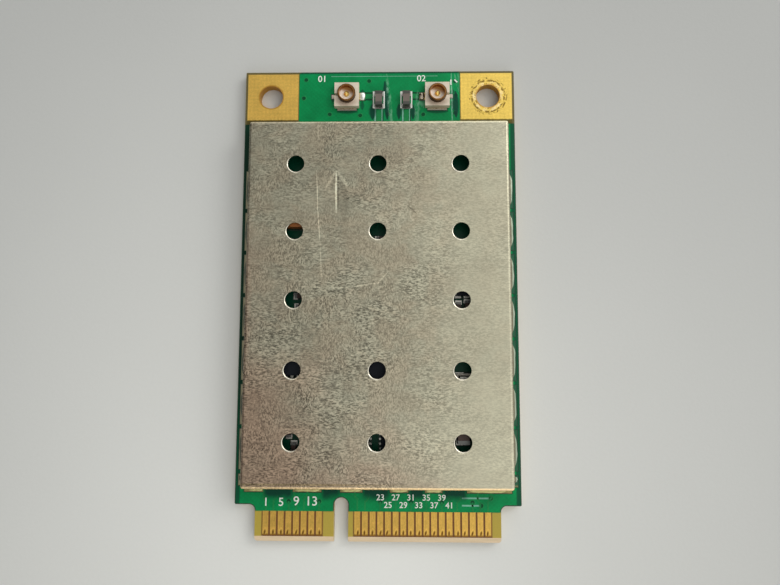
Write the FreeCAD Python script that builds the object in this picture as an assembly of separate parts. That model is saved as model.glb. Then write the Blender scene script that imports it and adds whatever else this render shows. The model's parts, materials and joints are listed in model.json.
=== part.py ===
# Full-size mini card radio: a laminate card with an edge connector, a pressed shield can over its circuits and
# two coaxial antenna connectors. Millimetres. The card lies on its bottom face, centred on the origin, and +Y
# points to its antenna end. Distances along the card are given from its mating edge or from its antenna end.
import FreeCAD
import Part
import math
import os

# Card
BOARD_LENGTH = 50.95
BOARD_THICKNESS = 1.0
COATING = 0.05
MASK_THICKNESS = 0.03
SHOULDER_WIDTH = 2.15
SHOULDER_HEIGHT = 3.75
SHOULDER_FILLET = 0.6
CARD_CORNER = 0.15
TONGUE_CORNER = 0.3
BEVEL_LENGTH = 0.55
BEVEL_DEPTH = 0.22
MASK_INSET = 0.1
MASK_GAP = 0.08

# Edge contacts and key slot
CONTACT_PITCH = 0.8
CONTACT_GAP = 0.2
FIRST_GROUP = 8
SECOND_GROUP = 18
KEY_PITCHES = 5
FIRST_CONTACT_MARGIN = 1.15
LAST_CONTACT_MARGIN = 1.35
CONTACT_START = 0.65
CONTACT_END = 3.1
KEY_WIDTH = 1.5
KEY_DEPTH = 4.5
KEY_TO_SECOND_GROUP = 1.7

# Mounting holes, each with a plated barrel between two lands
HOLE_DIAMETER = 2.6
HOLE_FROM_SIDE = 2.9
HOLE_FROM_END = 2.9
BARREL_WALL = 0.2
LAND_INSET = 0.25
LAND_WIDTH = 5.7
LAND_LENGTH = 5.75

# Shield can
SHIELD_FROM_EDGE = 5.7
SHIELD_FROM_END = 6.45
SHIELD_FROM_SIDE = 1.0
SHIELD_HEIGHT = 2.0
SHEET = 0.2
BEND_INSIDE = 0.12
SHIELD_CORNER = 0.5
VENT_DIAMETER = 1.8
VENT_FROM_SIDE = 5.17
VENT_FROM_END = 4.75
VENT_COLUMNS = "LCR"
VENT_ROWS = "12345"
CLOSED_VENT = "C3"
NOTCH_HEIGHT = 0.35
SIDE_NOTCH = 0.5
SIDE_NOTCHES = 8
SIDE_NOTCH_FROM_FRONT = 1.4
SIDE_NOTCH_FROM_BACK = 4.75
FRONT_NOTCHES = ((-10.44, 3.16), (-4.9, 2.0), (-0.14, 2.94), (4.1, 1.77), (8.06, 2.6))
BACK_SIDE_NOTCHES = ((-9.6, 2.0), (-4.6, 2.0), (8.4, 2.0))
TRACE_NOTCH = 1.3

# Ground lands and solder of the shield
SHIELD_LAND_INSIDE = 0.25
SHIELD_LAND_REACH = 0.65
BACK_LAND_REACH = 0.3
BEAD_REACH = 0.6
BACK_BEAD_REACH = 0.22
BEAD_HEIGHT = 0.45
BEAD_TAPER = 0.35

# Coaxial connectors
MAIN_CONNECTOR_X = -3.6
AUX_CONNECTOR_X = 6.45
SHELL_SIDE = 2.7
DECK_HEIGHT = 0.7
RING_DIAMETER = 2.0
RING_WALL = 0.2
RING_GROOVE = 0.07
RING_GROOVE_HEIGHT = 0.2
RING_LEAD_IN = 0.06
CONNECTOR_HEIGHT = 1.25
LEG_WIDTH = 0.36
LEG_SHEET = 0.14
FOOT_WIDTH = 2.0
GROUND_FOOT = 0.15
TAB_WIDTH = 0.3
TAB_REACH = 0.3
TAB_NOTCH = 0.35
TERMINAL_SHEET = 0.12
PIN_DIAMETER = 0.5
PIN_HEIGHT = 1.05
PIN_TIP = 0.12
TAIL_WIDTH = 0.7
TAIL_REACH = 0.55
FOOT_LAND_MARGIN = 0.08

# Chip parts with two end caps: length, width, height, end cap
ANTENNA_CHIP = (1.6, 0.8, 0.7, 0.35)
SMALL_CHIP = (1.0, 0.5, 0.4, 0.25)
BULK_CHIP = (3.2, 1.6, 1.25, 0.5)
SUPPLY_CHIP = (2.0, 1.25, 1.1, 0.4)
FILTER_CHIP = (2.0, 1.25, 0.9, 0.35)
INDUCTOR_CHIP = (3.0, 3.0, 1.3, 0.6)
CHIP_RELIEF = 0.02
CHIP_LAND_MARGIN = 0.1
CHIP_LAND_TOE = 0.2
MAIN_CAPACITOR_X = -0.05
AUX_CAPACITOR_X = 3.02
CAPACITOR_FROM_END = 3.3

# Leadless packages: size along X, size along Y, height, pitch; and how many terminals in a row
PROCESSOR = (8.0, 8.0, 1.0, 0.8)
PROCESSOR_ROW = 8
RADIO = (5.0, 5.0, 0.9, 0.95)
RADIO_ROW = 4
AMPLIFIER = (3.0, 3.0, 0.9, 1.2)
AMPLIFIER_ROW = 2
SWITCH = (2.5, 2.5, 0.7, 0.8)
SWITCH_ROW = 2
RADIO_REGULATOR = (3.0, 3.0, 0.8, 0.95)
RADIO_REGULATOR_ROW = 2
RESISTOR_ARRAY = (1.0, 2.0, 0.45, 0.5)
RESISTOR_ARRAY_ROW = 4
TERMINAL_GAP = 0.3
TERMINAL_LENGTH = 0.3
TERMINAL_HEIGHT = 0.2
TERMINAL_LAND_TOE = 0.2
DIMPLE_DIAMETER = 0.5
DIMPLE_DEPTH = 0.06
DIMPLE_FROM_EDGE = 0.55

# Packages with bent leads: size along X, size along Y, height, pitch; and how many leads in front and behind
MEMORY = (3.0, 4.4, 1.0, 0.65)
MEMORY_LEADS = 4
SUPPLY_REGULATOR = (2.9, 1.6, 1.1, 0.95)
REGULATOR_FRONT_LEADS = 3
REGULATOR_BACK_LEADS = 2
LEAD_WIDTH = 0.3
LEAD_SHEET = 0.15
LEAD_SHOULDER = 0.3
LEAD_FOOT = 0.45
PACKAGE_STANDOFF = 0.1

# Clock crystal
CRYSTAL_LENGTH = 3.2
CRYSTAL_WIDTH = 2.5
CRYSTAL_BASE = 0.45
CRYSTAL_LID = 0.35
CRYSTAL_RIM = 0.2
CRYSTAL_LID_BEVEL = 0.15
CRYSTAL_CORNER = 0.4

# Places of the parts under the shield: the nearest vent by column and row, then the offset from its centre
PROCESSOR_PLACE = ("C4", 0.0, 0.0)
RADIO_PLACE = ("C3", 0.0, 2.0)
MAIN_AMPLIFIER_PLACE = ("C1", -4.6, -3.7)
AUX_AMPLIFIER_PLACE = ("C1", 4.6, -3.7)
MAIN_FILTER_PLACE = ("C1", -4.6, 0.95)
AUX_FILTER_PLACE = ("C1", 4.6, 0.95)
SWITCH_PLACE = ("C1", 1.5, 2.7)
RADIO_REGULATOR_PLACE = ("R3", 0.2, 2.05)
MEMORY_PLACE = ("L4", 0.08, 1.6)
CRYSTAL_PLACE = ("R4", 1.07, -1.6)
BULK_PLACE = ("L2", -0.27, 1.4)
SUPPLY_PLACE = ("R5", 0.12, 0.7)
SUPPLY_REGULATOR_PLACE = ("L5", 4.0, -1.6)
INDUCTOR_PLACE = ("R5", -3.9, -1.5)
ARRAY_PLACES = (("C5", -1.35, -0.15), ("C5", 0.85, -0.15))
UPRIGHT_BYPASS = (("R3", -0.21, -0.6), ("R3", 0.7, -0.45), ("L5", -0.02, -0.8), ("L5", -0.57, 0.75))
LEVEL_BYPASS = (("L3", 0.35, 0.55), ("L3", 0.45, -0.6), ("C2", 0.3, -0.55))
LEVEL_BIAS = (("C1", -1.6, 2.2), ("L5", 1.0, 1.9))

# Sizes and places that follow from the ones above
CLEAR = 1.0
contact_width = CONTACT_PITCH - CONTACT_GAP
contact_span = (FIRST_GROUP - 1 + KEY_PITCHES + SECOND_GROUP - 1) * CONTACT_PITCH
tongue_width = FIRST_CONTACT_MARGIN + contact_span + LAST_CONTACT_MARGIN
board_width = tongue_width + 2 * SHOULDER_WIDTH
half_width = board_width / 2
mate_y = -BOARD_LENGTH / 2
end_y = BOARD_LENGTH / 2
laminate_top = BOARD_THICKNESS - COATING
first_contact_x = FIRST_CONTACT_MARGIN - tongue_width / 2
second_group_x = first_contact_x + (FIRST_GROUP - 1 + KEY_PITCHES) * CONTACT_PITCH
key_x = second_group_x - KEY_TO_SECOND_GROUP
hole_x = half_width - HOLE_FROM_SIDE
hole_y = end_y - HOLE_FROM_END
hole_radius = HOLE_DIAMETER / 2
capacitor_y = end_y - CAPACITOR_FROM_END
bend_outside = BEND_INSIDE + SHEET
shield_width = board_width - 2 * SHIELD_FROM_SIDE
shield_length = BOARD_LENGTH - SHIELD_FROM_EDGE - SHIELD_FROM_END
shield_y = mate_y + SHIELD_FROM_EDGE + shield_length / 2
vent_pitch_x = (shield_width - 2 * VENT_FROM_SIDE) / (len(VENT_COLUMNS) - 1)
vent_pitch_y = (shield_length - 2 * VENT_FROM_END) / (len(VENT_ROWS) - 1)


def vec(x, y, z=0.0):
    return FreeCAD.Vector(x, y, z)


def block(x0, x1, y0, y1, z0, z1):
    return Part.makeBox(x1 - x0, y1 - y0, z1 - z0, vec(x0, y0, z0))


def cylinder(x, y, radius, z0, z1):
    return Part.makeCylinder(radius, z1 - z0, vec(x, y, z0))


def moved(shape, x, y, z, turn=0.0):
    """Copy of a shape, turned about Z and then moved."""
    copy = shape.copy()
    copy.Placement = FreeCAD.Placement(vec(x, y, z), FreeCAD.Rotation(vec(0, 0, 1), turn))
    return copy


def joined(shapes):
    """One shape fused from all of a list, with the seams between flush faces taken out."""
    return shapes[0].fuse(shapes[1:]).removeSplitter()


def rounded_plate(corners, z0, z1):
    """Plate whose outline runs through corners of (x, y, radius), each rounded by its own radius."""
    starts, arcs, ends = [], [], []
    for i, (x, y, radius) in enumerate(corners):
        corner = vec(x, y, z0)
        before = (vec(corners[i - 1][0], corners[i - 1][1], z0) - corner).normalize()
        following = corners[(i + 1) % len(corners)]
        after = (vec(following[0], following[1], z0) - corner).normalize()
        half_angle = before.getAngle(after) / 2
        middle = (before + after).normalize()
        tangent = radius / math.tan(half_angle)
        starts.append(corner + before * tangent)
        arcs.append(corner + middle * (radius / math.sin(half_angle) - radius))
        ends.append(corner + after * tangent)
    edges = []
    for i in range(len(corners)):
        edges.append(Part.Arc(starts[i], arcs[i], ends[i]).toShape())
        edges.append(Part.LineSegment(ends[i], starts[(i + 1) % len(corners)]).toShape())
    return Part.Face(Part.Wire(edges)).extrude(vec(0, 0, z1 - z0))


def prism_along_x(profile, x0, x1):
    """Prism along X with a closed profile of (y, z) points."""
    points = [vec(x0, y, z) for y, z in profile]
    return Part.Face(Part.makePolygon(points + points[:1])).extrude(vec(x1 - x0, 0, 0))


# Card

def card_corners(inset):
    """Corners of the card's outline, moved inwards by inset."""
    right = [
        (tongue_width / 2 - inset, mate_y + inset, TONGUE_CORNER - inset),
        (tongue_width / 2 - inset, mate_y + SHOULDER_HEIGHT + inset, SHOULDER_FILLET + inset),
        (half_width - inset, mate_y + SHOULDER_HEIGHT + inset, CARD_CORNER - inset),
        (half_width - inset, end_y - inset, CARD_CORNER - inset),
    ]
    return right + [(-x, y, radius) for x, y, radius in reversed(right)]


def key_slot(widening):
    """Cutter of the key slot, which ends in a half circle."""
    radius = KEY_WIDTH / 2 + widening
    round_y = mate_y + KEY_DEPTH - KEY_WIDTH / 2
    straight = block(key_x - radius, key_x + radius, mate_y - CLEAR, round_y, -CLEAR, BOARD_THICKNESS + CLEAR)
    return straight.fuse(cylinder(key_x, round_y, radius, -CLEAR, BOARD_THICKNESS + CLEAR))


def laminate_board():
    board = rounded_plate(card_corners(0.0), COATING, laminate_top).cut(key_slot(0.0))
    for side in (-1, 1):
        hole = cylinder(side * hole_x, hole_y, hole_radius + BARREL_WALL, 0, BOARD_THICKNESS)
        board = board.cut(hole)
    for face, inward in ((COATING, 1), (laminate_top, -1)):
        bevel = [(mate_y, face), (mate_y + BEVEL_LENGTH, face), (mate_y, face + inward * BEVEL_DEPTH)]
        board = board.cut(prism_along_x(bevel, -half_width, half_width))
    return board


def contact_places():
    first = [first_contact_x + i * CONTACT_PITCH for i in range(FIRST_GROUP)]
    second = [second_group_x + i * CONTACT_PITCH for i in range(SECOND_GROUP)]
    return first + second


def edge_contacts(z0, z1):
    half = contact_width / 2
    low = mate_y + CONTACT_START
    high = mate_y + CONTACT_END
    return [block(x - half, x + half, low, high, z0, z1) for x in contact_places()]


def mounting_land_area(side):
    """Rectangle (x0, x1, y0, y1) of the land round one mounting hole."""
    outer = half_width - LAND_INSET
    inner = outer - LAND_WIDTH
    top = end_y - LAND_INSET
    low, high = sorted((side * inner, side * outer))
    return low, high, top - LAND_LENGTH, top


def mounting_land(side):
    """Land on each face and the plated barrel between them, as one piece."""
    area = mounting_land_area(side)
    barrel = cylinder(side * hole_x, hole_y, hole_radius + BARREL_WALL, 0, BOARD_THICKNESS)
    land = joined([block(*area, 0, COATING), block(*area, laminate_top, BOARD_THICKNESS), barrel])
    return land.cut(cylinder(side * hole_x, hole_y, hole_radius, -CLEAR, BOARD_THICKNESS + CLEAR))


def mounting_windows(z0, z1):
    """Openings of the mask round the mounting lands, out past the card's edges."""
    windows = []
    for side in (-1, 1):
        x0, x1, y0, _ = mounting_land_area(side)
        if side < 0:
            x0 = -half_width - CLEAR
            x1 += MASK_GAP
        else:
            x0 -= MASK_GAP
            x1 = half_width + CLEAR
        windows.append(block(x0, x1, y0 - MASK_GAP, end_y + CLEAR, z0, z1))
    return windows


def solder_mask(z0, z1, areas):
    """Coating of one face, open over the tongue, the mounting lands and each of the given areas."""
    mask = rounded_plate(card_corners(MASK_INSET), z0, z1).cut(key_slot(MASK_INSET))
    tongue = block(-half_width, half_width, mate_y - CLEAR, mate_y + CONTACT_END, z0 - CLEAR, z1 + CLEAR)
    cutters = [tongue] + mounting_windows(z0 - CLEAR, z1 + CLEAR)
    for x0, x1, y0, y1 in areas:
        window = block(x0 - MASK_GAP, x1 + MASK_GAP, y0 - MASK_GAP, y1 + MASK_GAP, z0 - CLEAR, z1 + CLEAR)
        cutters.append(window)
    return mask.cut(cutters)


def lands(areas):
    """Coated copper lands, a little proud of the solder mask."""
    return [block(*area, laminate_top, BOARD_THICKNESS) for area in areas]


# Shield

def arched_block(span, length, height, radius):
    """Block along Y whose two upper long edges are rounded."""
    body = block(-span / 2, span / 2, -length / 2, length / 2, 0, height)
    upper = [edge for edge in body.Edges if edge.BoundBox.ZMin > height / 2]
    return body.makeFillet(radius, [edge for edge in upper if edge.BoundBox.YLength > length / 2])


def pressed_block(inset):
    """Block as large as the shield, drawn in by an inset, with rounded upright and upper edges."""
    span = shield_width - 2 * inset
    length = shield_length - 2 * inset
    height = SHIELD_HEIGHT - inset
    corner = SHIELD_CORNER - inset
    bend = bend_outside - inset
    corners = [(x * span / 2, y * length / 2, corner) for x, y in ((1, -1), (1, 1), (-1, 1), (-1, -1))]
    along = arched_block(span, length, height, bend)
    across = moved(arched_block(length, span, height, bend), 0, 0, 0, 90)
    return rounded_plate(corners, 0, height).common(along).common(across)


def side_notches():
    """Notches along a side wall, as (distance from the shield's middle, width)."""
    first = SIDE_NOTCH_FROM_FRONT - shield_length / 2
    last = shield_length / 2 - SIDE_NOTCH_FROM_BACK
    pitch = (last - first) / (SIDE_NOTCHES - 1)
    return [(first + i * pitch, SIDE_NOTCH) for i in range(SIDE_NOTCHES)]


def back_notches():
    """Notches of the wall at the antenna end: two pass the antenna traces."""
    traces = ((MAIN_CAPACITOR_X, TRACE_NOTCH), (AUX_CAPACITOR_X, TRACE_NOTCH))
    return sorted(BACK_SIDE_NOTCHES + traces)


def mirrored(notches):
    return sorted((-place, width) for place, width in notches)


def feet_between(notches, half_length):
    """Stretches of a wall that stand on the card, as (start, end)."""
    starts = [-half_length] + [place + width / 2 for place, width in notches]
    stops = [place - width / 2 for place, width in notches] + [half_length]
    return list(zip(starts, stops))


def shield_walls():
    """Each wall's turn about Z, distance from the middle, notches, soldered feet, and reach of lands and beads."""
    sides = side_notches()
    half_x = shield_width / 2
    half_y = shield_length / 2
    back = mirrored(back_notches())
    return [
        (0, half_y, FRONT_NOTCHES, feet_between(FRONT_NOTCHES, half_x), SHIELD_LAND_REACH, BEAD_REACH),
        (90, half_x, sides, feet_between(sides, half_y)[:-1], SHIELD_LAND_REACH, BEAD_REACH),
        (180, half_y, back, feet_between(back, half_x)[1:-1], BACK_LAND_REACH, BACK_BEAD_REACH),
        (270, half_x, mirrored(sides), feet_between(mirrored(sides), half_y)[1:], SHIELD_LAND_REACH, BEAD_REACH),
    ]


def at_wall(shape, turn, distance):
    """Shape drawn at a wall that faces -Y, moved to the wall with the given turn and distance."""
    out = FreeCAD.Rotation(vec(0, 0, 1), turn).multVec(vec(0, -distance))
    return moved(shape, out.x, shield_y + out.y, BOARD_THICKNESS, turn)


def vent_place(name):
    """Centre of the vent in a lettered column and a numbered row, the first row at the antenna end."""
    column = VENT_COLUMNS.index(name[0]) - (len(VENT_COLUMNS) - 1) / 2
    row = (len(VENT_ROWS) - 1) / 2 - VENT_ROWS.index(name[1])
    return column * vent_pitch_x, shield_y + row * vent_pitch_y


def shield_can():
    can = moved(pressed_block(0.0).cut(pressed_block(SHEET)), 0, shield_y, BOARD_THICKNESS)
    cutters = []
    for column in VENT_COLUMNS:
        for row in VENT_ROWS:
            if column + row != CLOSED_VENT:
                x, y = vent_place(column + row)
                top = BOARD_THICKNESS + SHIELD_HEIGHT
                cutters.append(cylinder(x, y, VENT_DIAMETER / 2, top - 2 * SHEET, top + CLEAR))
    for turn, distance, notches, _, _, _ in shield_walls():
        for place, width in notches:
            notch = block(place - width / 2, place + width / 2, -CLEAR, 2 * SHEET, -CLEAR, NOTCH_HEIGHT)
            cutters.append(at_wall(notch, turn, distance))
    return can.cut(cutters)


def shield_land_areas():
    """Rectangles of the ground lands under the shield's feet."""
    areas = []
    for turn, distance, _, feet, reach, _ in shield_walls():
        for start, stop in feet:
            land = block(start, stop, -reach, SHEET + SHIELD_LAND_INSIDE, 0, COATING)
            box = at_wall(land, turn, distance).BoundBox
            areas.append((box.XMin, box.XMax, box.YMin, box.YMax))
    return areas


def solder_bead(start, stop, reach):
    """Bead along the foot of a wall that faces -Y, sloped outwards and at both ends."""
    taper = min(BEAD_TAPER, (stop - start) / 3)
    foot = [vec(start, 0), vec(stop, 0)]
    toe = [vec(start + taper, -reach), vec(stop - taper, -reach)]
    crest = [vec(start + taper, 0, BEAD_HEIGHT), vec(stop - taper, 0, BEAD_HEIGHT)]
    loops = [
        [foot[0], foot[1], toe[1], toe[0]],
        [foot[0], foot[1], crest[1], crest[0]],
        [toe[0], toe[1], crest[1], crest[0]],
        [foot[0], toe[0], crest[0]],
        [foot[1], toe[1], crest[1]],
    ]
    faces = [Part.Face(Part.makePolygon(loop + loop[:1])) for loop in loops]
    shell = Part.makeShell(faces)
    shell.sewShape()
    bead = Part.makeSolid(shell)
    return bead if bead.Volume > 0 else bead.reversed()


def shield_solder():
    beads = []
    for turn, distance, _, feet, _, reach in shield_walls():
        for start, stop in feet:
            beads.append(at_wall(solder_bead(start, stop, reach), turn, distance))
    return beads


# Coaxial connectors, drawn at the origin with the signal tail towards +X

def ring_collar():
    """Ring of the ground contact, with a groove that a plug snaps into and a bevelled rim."""
    ring = RING_DIAMETER / 2
    bore = ring - RING_WALL
    profile = [
        (bore, DECK_HEIGHT), (ring, DECK_HEIGHT), (ring - RING_GROOVE, DECK_HEIGHT + RING_GROOVE_HEIGHT / 2),
        (ring, DECK_HEIGHT + RING_GROOVE_HEIGHT), (ring, CONNECTOR_HEIGHT - RING_LEAD_IN),
        (ring - RING_LEAD_IN, CONNECTOR_HEIGHT), (bore, CONNECTOR_HEIGHT),
    ]
    points = [vec(radius, 0, z) for radius, z in profile]
    return Part.Face(Part.makePolygon(points + points[:1])).revolve(vec(0, 0), vec(0, 0, 1), 360)


def connector_shell():
    """Ground contact: a ring on legs through the housing, with a foot at each end and a narrow tab at the back."""
    half = SHELL_SIDE / 2
    inner = RING_DIAMETER / 2 - RING_WALL / 2 - LEG_SHEET / 2
    outer = inner + LEG_SHEET
    pieces = [ring_collar()]
    for end in (-1, 1):
        leg = sorted((end * inner, end * outer))
        foot = sorted((end * inner, end * (half + GROUND_FOOT)))
        pieces.append(block(-LEG_WIDTH / 2, LEG_WIDTH / 2, *leg, 0, DECK_HEIGHT))
        pieces.append(block(-FOOT_WIDTH / 2, FOOT_WIDTH / 2, *foot, 0, TERMINAL_SHEET))
    pieces.append(block(-outer, -inner, -TAB_WIDTH / 2, TAB_WIDTH / 2, 0, DECK_HEIGHT))
    pieces.append(block(-half - TAB_REACH, -inner, -TAB_WIDTH / 2, TAB_WIDTH / 2, 0, TERMINAL_SHEET))
    return joined(pieces)


def connector_pin():
    """Signal contact: a round post with a tapered tip, and a flat tail out under the housing."""
    radius = PIN_DIAMETER / 2
    post = Part.makeCylinder(radius, PIN_HEIGHT - PIN_TIP)
    tip = Part.makeCone(radius, radius - PIN_TIP, PIN_TIP, vec(0, 0, PIN_HEIGHT - PIN_TIP))
    reach = SHELL_SIDE / 2 + TAIL_REACH
    return joined([post, tip, block(0, reach, -TAIL_WIDTH / 2, TAIL_WIDTH / 2, 0, TERMINAL_SHEET)])


def connector_housing():
    """Block with a flat deck, moulded round both contacts and notched over the narrow tab."""
    half = SHELL_SIDE / 2
    notch = block(-half - CLEAR, -half + TAB_NOTCH, -TAB_WIDTH / 2, TAB_WIDTH / 2, -CLEAR, DECK_HEIGHT + CLEAR)
    body = block(-half, half, -half, half, 0, DECK_HEIGHT)
    return body.cut([notch, connector_shell(), connector_pin()]).removeSplitter()


def connector_land_areas(x, signal):
    """Lands of the ground feet, the tab and the tail of a connector at x, whose tail points to signal along X."""
    half = SHELL_SIDE / 2
    margin = FOOT_LAND_MARGIN
    areas = []
    for end in (-1, 1):
        y0, y1 = sorted((hole_y + end * half, hole_y + end * (half + GROUND_FOOT + margin)))
        areas.append((x - FOOT_WIDTH / 2 - margin, x + FOOT_WIDTH / 2 + margin, y0, y1))
    for way, reach, width in ((signal, TAIL_REACH, TAIL_WIDTH), (-signal, TAB_REACH, TAB_WIDTH)):
        x0, x1 = sorted((x + way * half, x + way * (half + reach + margin)))
        areas.append((x0, x1, hole_y - width / 2 - margin, hole_y + width / 2 + margin))
    return areas


# Chip parts and packages

def end_cap_chip(size, x, y, upright):
    """Body, two end caps and two land areas of a chip part that lies along X, or along Y if upright."""
    length, width, height, cap = size
    half = length / 2
    relief = CHIP_RELIEF
    side = width / 2 - relief
    body = block(-half + cap, half - cap, -side, side, relief, height - relief)
    caps = [block(-half, -half + cap, -width / 2, width / 2, 0, height)]
    caps.append(block(half - cap, half, -width / 2, width / 2, 0, height))
    turn = 90 if upright else 0
    shapes = [moved(shape, x, y, BOARD_THICKNESS, turn) for shape in [body] + caps]
    areas = []
    for end in (-1, 1):
        inner = end * (half - cap)
        outer = end * (half + CHIP_LAND_TOE)
        low, high = sorted((inner, outer))
        across = width / 2 + CHIP_LAND_MARGIN
        if upright:
            areas.append((x - across, x + across, y + low, y + high))
        else:
            areas.append((x + low, x + high, y - across, y + across))
    return shapes[0], shapes[1:], areas


def leadless_package(size, along_x, along_y, x, y):
    """Package that overhangs the terminals along its lower edges, and their land areas."""
    size_x, size_y, height, pitch = size
    half_terminal = (pitch - TERMINAL_GAP) / 2
    terminals, areas = [], []
    for turn, half, count in ((0, size_y / 2, along_x), (90, size_x / 2, along_y)):
        for side in (0, 180):
            for i in range(count):
                place = (i - (count - 1) / 2) * pitch
                terminal = block(
                    place - half_terminal, place + half_terminal, -half, -half + TERMINAL_LENGTH, 0, TERMINAL_HEIGHT)
                land = block(
                    place - half_terminal, place + half_terminal, -half - TERMINAL_LAND_TOE, -half + TERMINAL_LENGTH,
                    0, TERMINAL_HEIGHT)
                terminals.append(moved(terminal, x, y, BOARD_THICKNESS, turn + side))
                box = moved(land, x, y, 0, turn + side).BoundBox
                areas.append((box.XMin, box.XMax, box.YMin, box.YMax))
    foot_x = size_x / 2 - (TERMINAL_LENGTH if along_y else 0)
    foot_y = size_y / 2 - (TERMINAL_LENGTH if along_x else 0)
    seat = BOARD_THICKNESS + TERMINAL_HEIGHT
    foot = block(x - foot_x, x + foot_x, y - foot_y, y + foot_y, BOARD_THICKNESS, seat)
    cap = block(x - size_x / 2, x + size_x / 2, y - size_y / 2, y + size_y / 2, seat, BOARD_THICKNESS + height)
    return joined([foot, cap]), terminals, areas


def with_dimple(package, size, x, y):
    """Package with a round mark sunk in its top, by the first terminal."""
    top = BOARD_THICKNESS + size[2]
    mark_x = x - size[0] / 2 + DIMPLE_FROM_EDGE
    mark_y = y - size[1] / 2 + DIMPLE_FROM_EDGE
    return package.cut(cylinder(mark_x, mark_y, DIMPLE_DIAMETER / 2, top - DIMPLE_DEPTH, top + CLEAR))


def leaded_package(size, front, back, x, y):
    """Package on bent leads along its front and back, and their land areas."""
    size_x, size_y, height, pitch = size
    half = size_y / 2
    exit_low = height / 2
    exit_high = exit_low + LEAD_SHEET
    outer = -half - LEAD_SHOULDER - LEAD_SHEET
    profile = [
        (-half, exit_high), (outer, exit_high), (outer, LEAD_SHEET), (outer - LEAD_FOOT, LEAD_SHEET),
        (outer - LEAD_FOOT, 0), (outer + LEAD_SHEET, 0), (outer + LEAD_SHEET, exit_low), (-half, exit_low),
    ]
    leads, areas = [], []
    for turn, count in ((0, front), (180, back)):
        spacing = pitch if count == max(front, back) else pitch * (max(front, back) - 1) / (count - 1)
        for i in range(count):
            place = (i - (count - 1) / 2) * spacing
            lead = prism_along_x(profile, place - LEAD_WIDTH / 2, place + LEAD_WIDTH / 2)
            leads.append(moved(lead, x, y, BOARD_THICKNESS, turn))
            box = leads[-1].BoundBox
            foot = LEAD_FOOT + LEAD_SHEET
            low = box.YMin if turn == 0 else box.YMax - foot
            areas.append((box.XMin, box.XMax, low, low + foot))
    package = block(x - size_x / 2, x + size_x / 2, y - half, y + half, BOARD_THICKNESS + PACKAGE_STANDOFF,
                    BOARD_THICKNESS + height)
    return package, leads, areas


def crystal(x, y):
    """Ceramic base, bevelled metal lid and the land areas of the base's four corners."""
    half_x = CRYSTAL_LENGTH / 2
    half_y = CRYSTAL_WIDTH / 2
    seat = BOARD_THICKNESS + CRYSTAL_BASE
    base = block(x - half_x, x + half_x, y - half_y, y + half_y, BOARD_THICKNESS, seat)
    lid = block(x - half_x + CRYSTAL_RIM, x + half_x - CRYSTAL_RIM, y - half_y + CRYSTAL_RIM,
                y + half_y - CRYSTAL_RIM, seat, seat + CRYSTAL_LID)
    upper = [edge for edge in lid.Edges if edge.BoundBox.ZMin > seat + CRYSTAL_LID / 2]
    lid = lid.makeChamfer(CRYSTAL_LID_BEVEL, upper)
    areas = []
    for side in (-1, 1):
        for end in (-1, 1):
            x0, x1 = sorted((x + side * (half_x - 2 * CRYSTAL_CORNER), x + side * (half_x + CHIP_LAND_MARGIN)))
            y0, y1 = sorted((y + end * (half_y - 2 * CRYSTAL_CORNER), y + end * (half_y + CHIP_LAND_MARGIN)))
            areas.append((x0, x1, y0, y1))
    return base, lid, areas


def at_vent(place):
    """Point of the card that lies at an offset from a vent's centre."""
    vent, offset_x, offset_y = place
    x, y = vent_place(vent)
    return x + offset_x, y + offset_y


def covering(areas):
    """The rectangle round a group of areas: fine terminals share one opening of the mask."""
    x0, x1, y0, y1 = zip(*areas)
    return min(x0), max(x1), min(y0), max(y1)


# The whole card, node by node
nodes = {}
component_areas = []
component_openings = []


def add_leadless(names, terminal_name, size, along_x, along_y, places):
    """Adds a package at each place, in as many nodes as there are names, and one node for all their terminals."""
    all_terminals = []
    packages = []
    for place in places:
        x, y = at_vent(place)
        package, terminals, areas = leadless_package(size, along_x, along_y, x, y)
        packages.append(package)
        all_terminals += terminals
        component_areas.extend(areas)
        component_openings.append(covering(areas))
    if len(names) == len(packages):
        for name, package in zip(names, packages):
            nodes[name] = [package]
    else:
        nodes[names[0]] = packages
    nodes[terminal_name] = all_terminals


def add_leaded(name, lead_name, size, front, back, place, marked=False):
    x, y = at_vent(place)
    package, leads, areas = leaded_package(size, front, back, x, y)
    nodes[name] = [with_dimple(package, size, x, y) if marked else package]
    nodes[lead_name] = leads
    component_areas.extend(areas)
    component_openings.append(covering(areas))


def add_chips(name, cap_name, size, level, upright):
    """Adds one node for the bodies and one for the end caps of a group of chip parts."""
    bodies, all_caps = [], []
    for places, stands in ((level, False), (upright, True)):
        for place in places:
            body, caps, areas = end_cap_chip(size, *at_vent(place), stands)
            bodies.append(body)
            all_caps += caps
            component_areas.extend(areas)
            component_openings.append(covering(areas))
    nodes[name] = bodies
    nodes[cap_name] = all_caps


def add_connector(name, x, signal):
    turn = 0 if signal > 0 else 180
    for part, shape in (("housing", connector_housing()), ("shell", connector_shell()), ("pin", connector_pin())):
        nodes[name + "_connector_" + part] = [moved(shape, x, hole_y, BOARD_THICKNESS, turn)]


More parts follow.
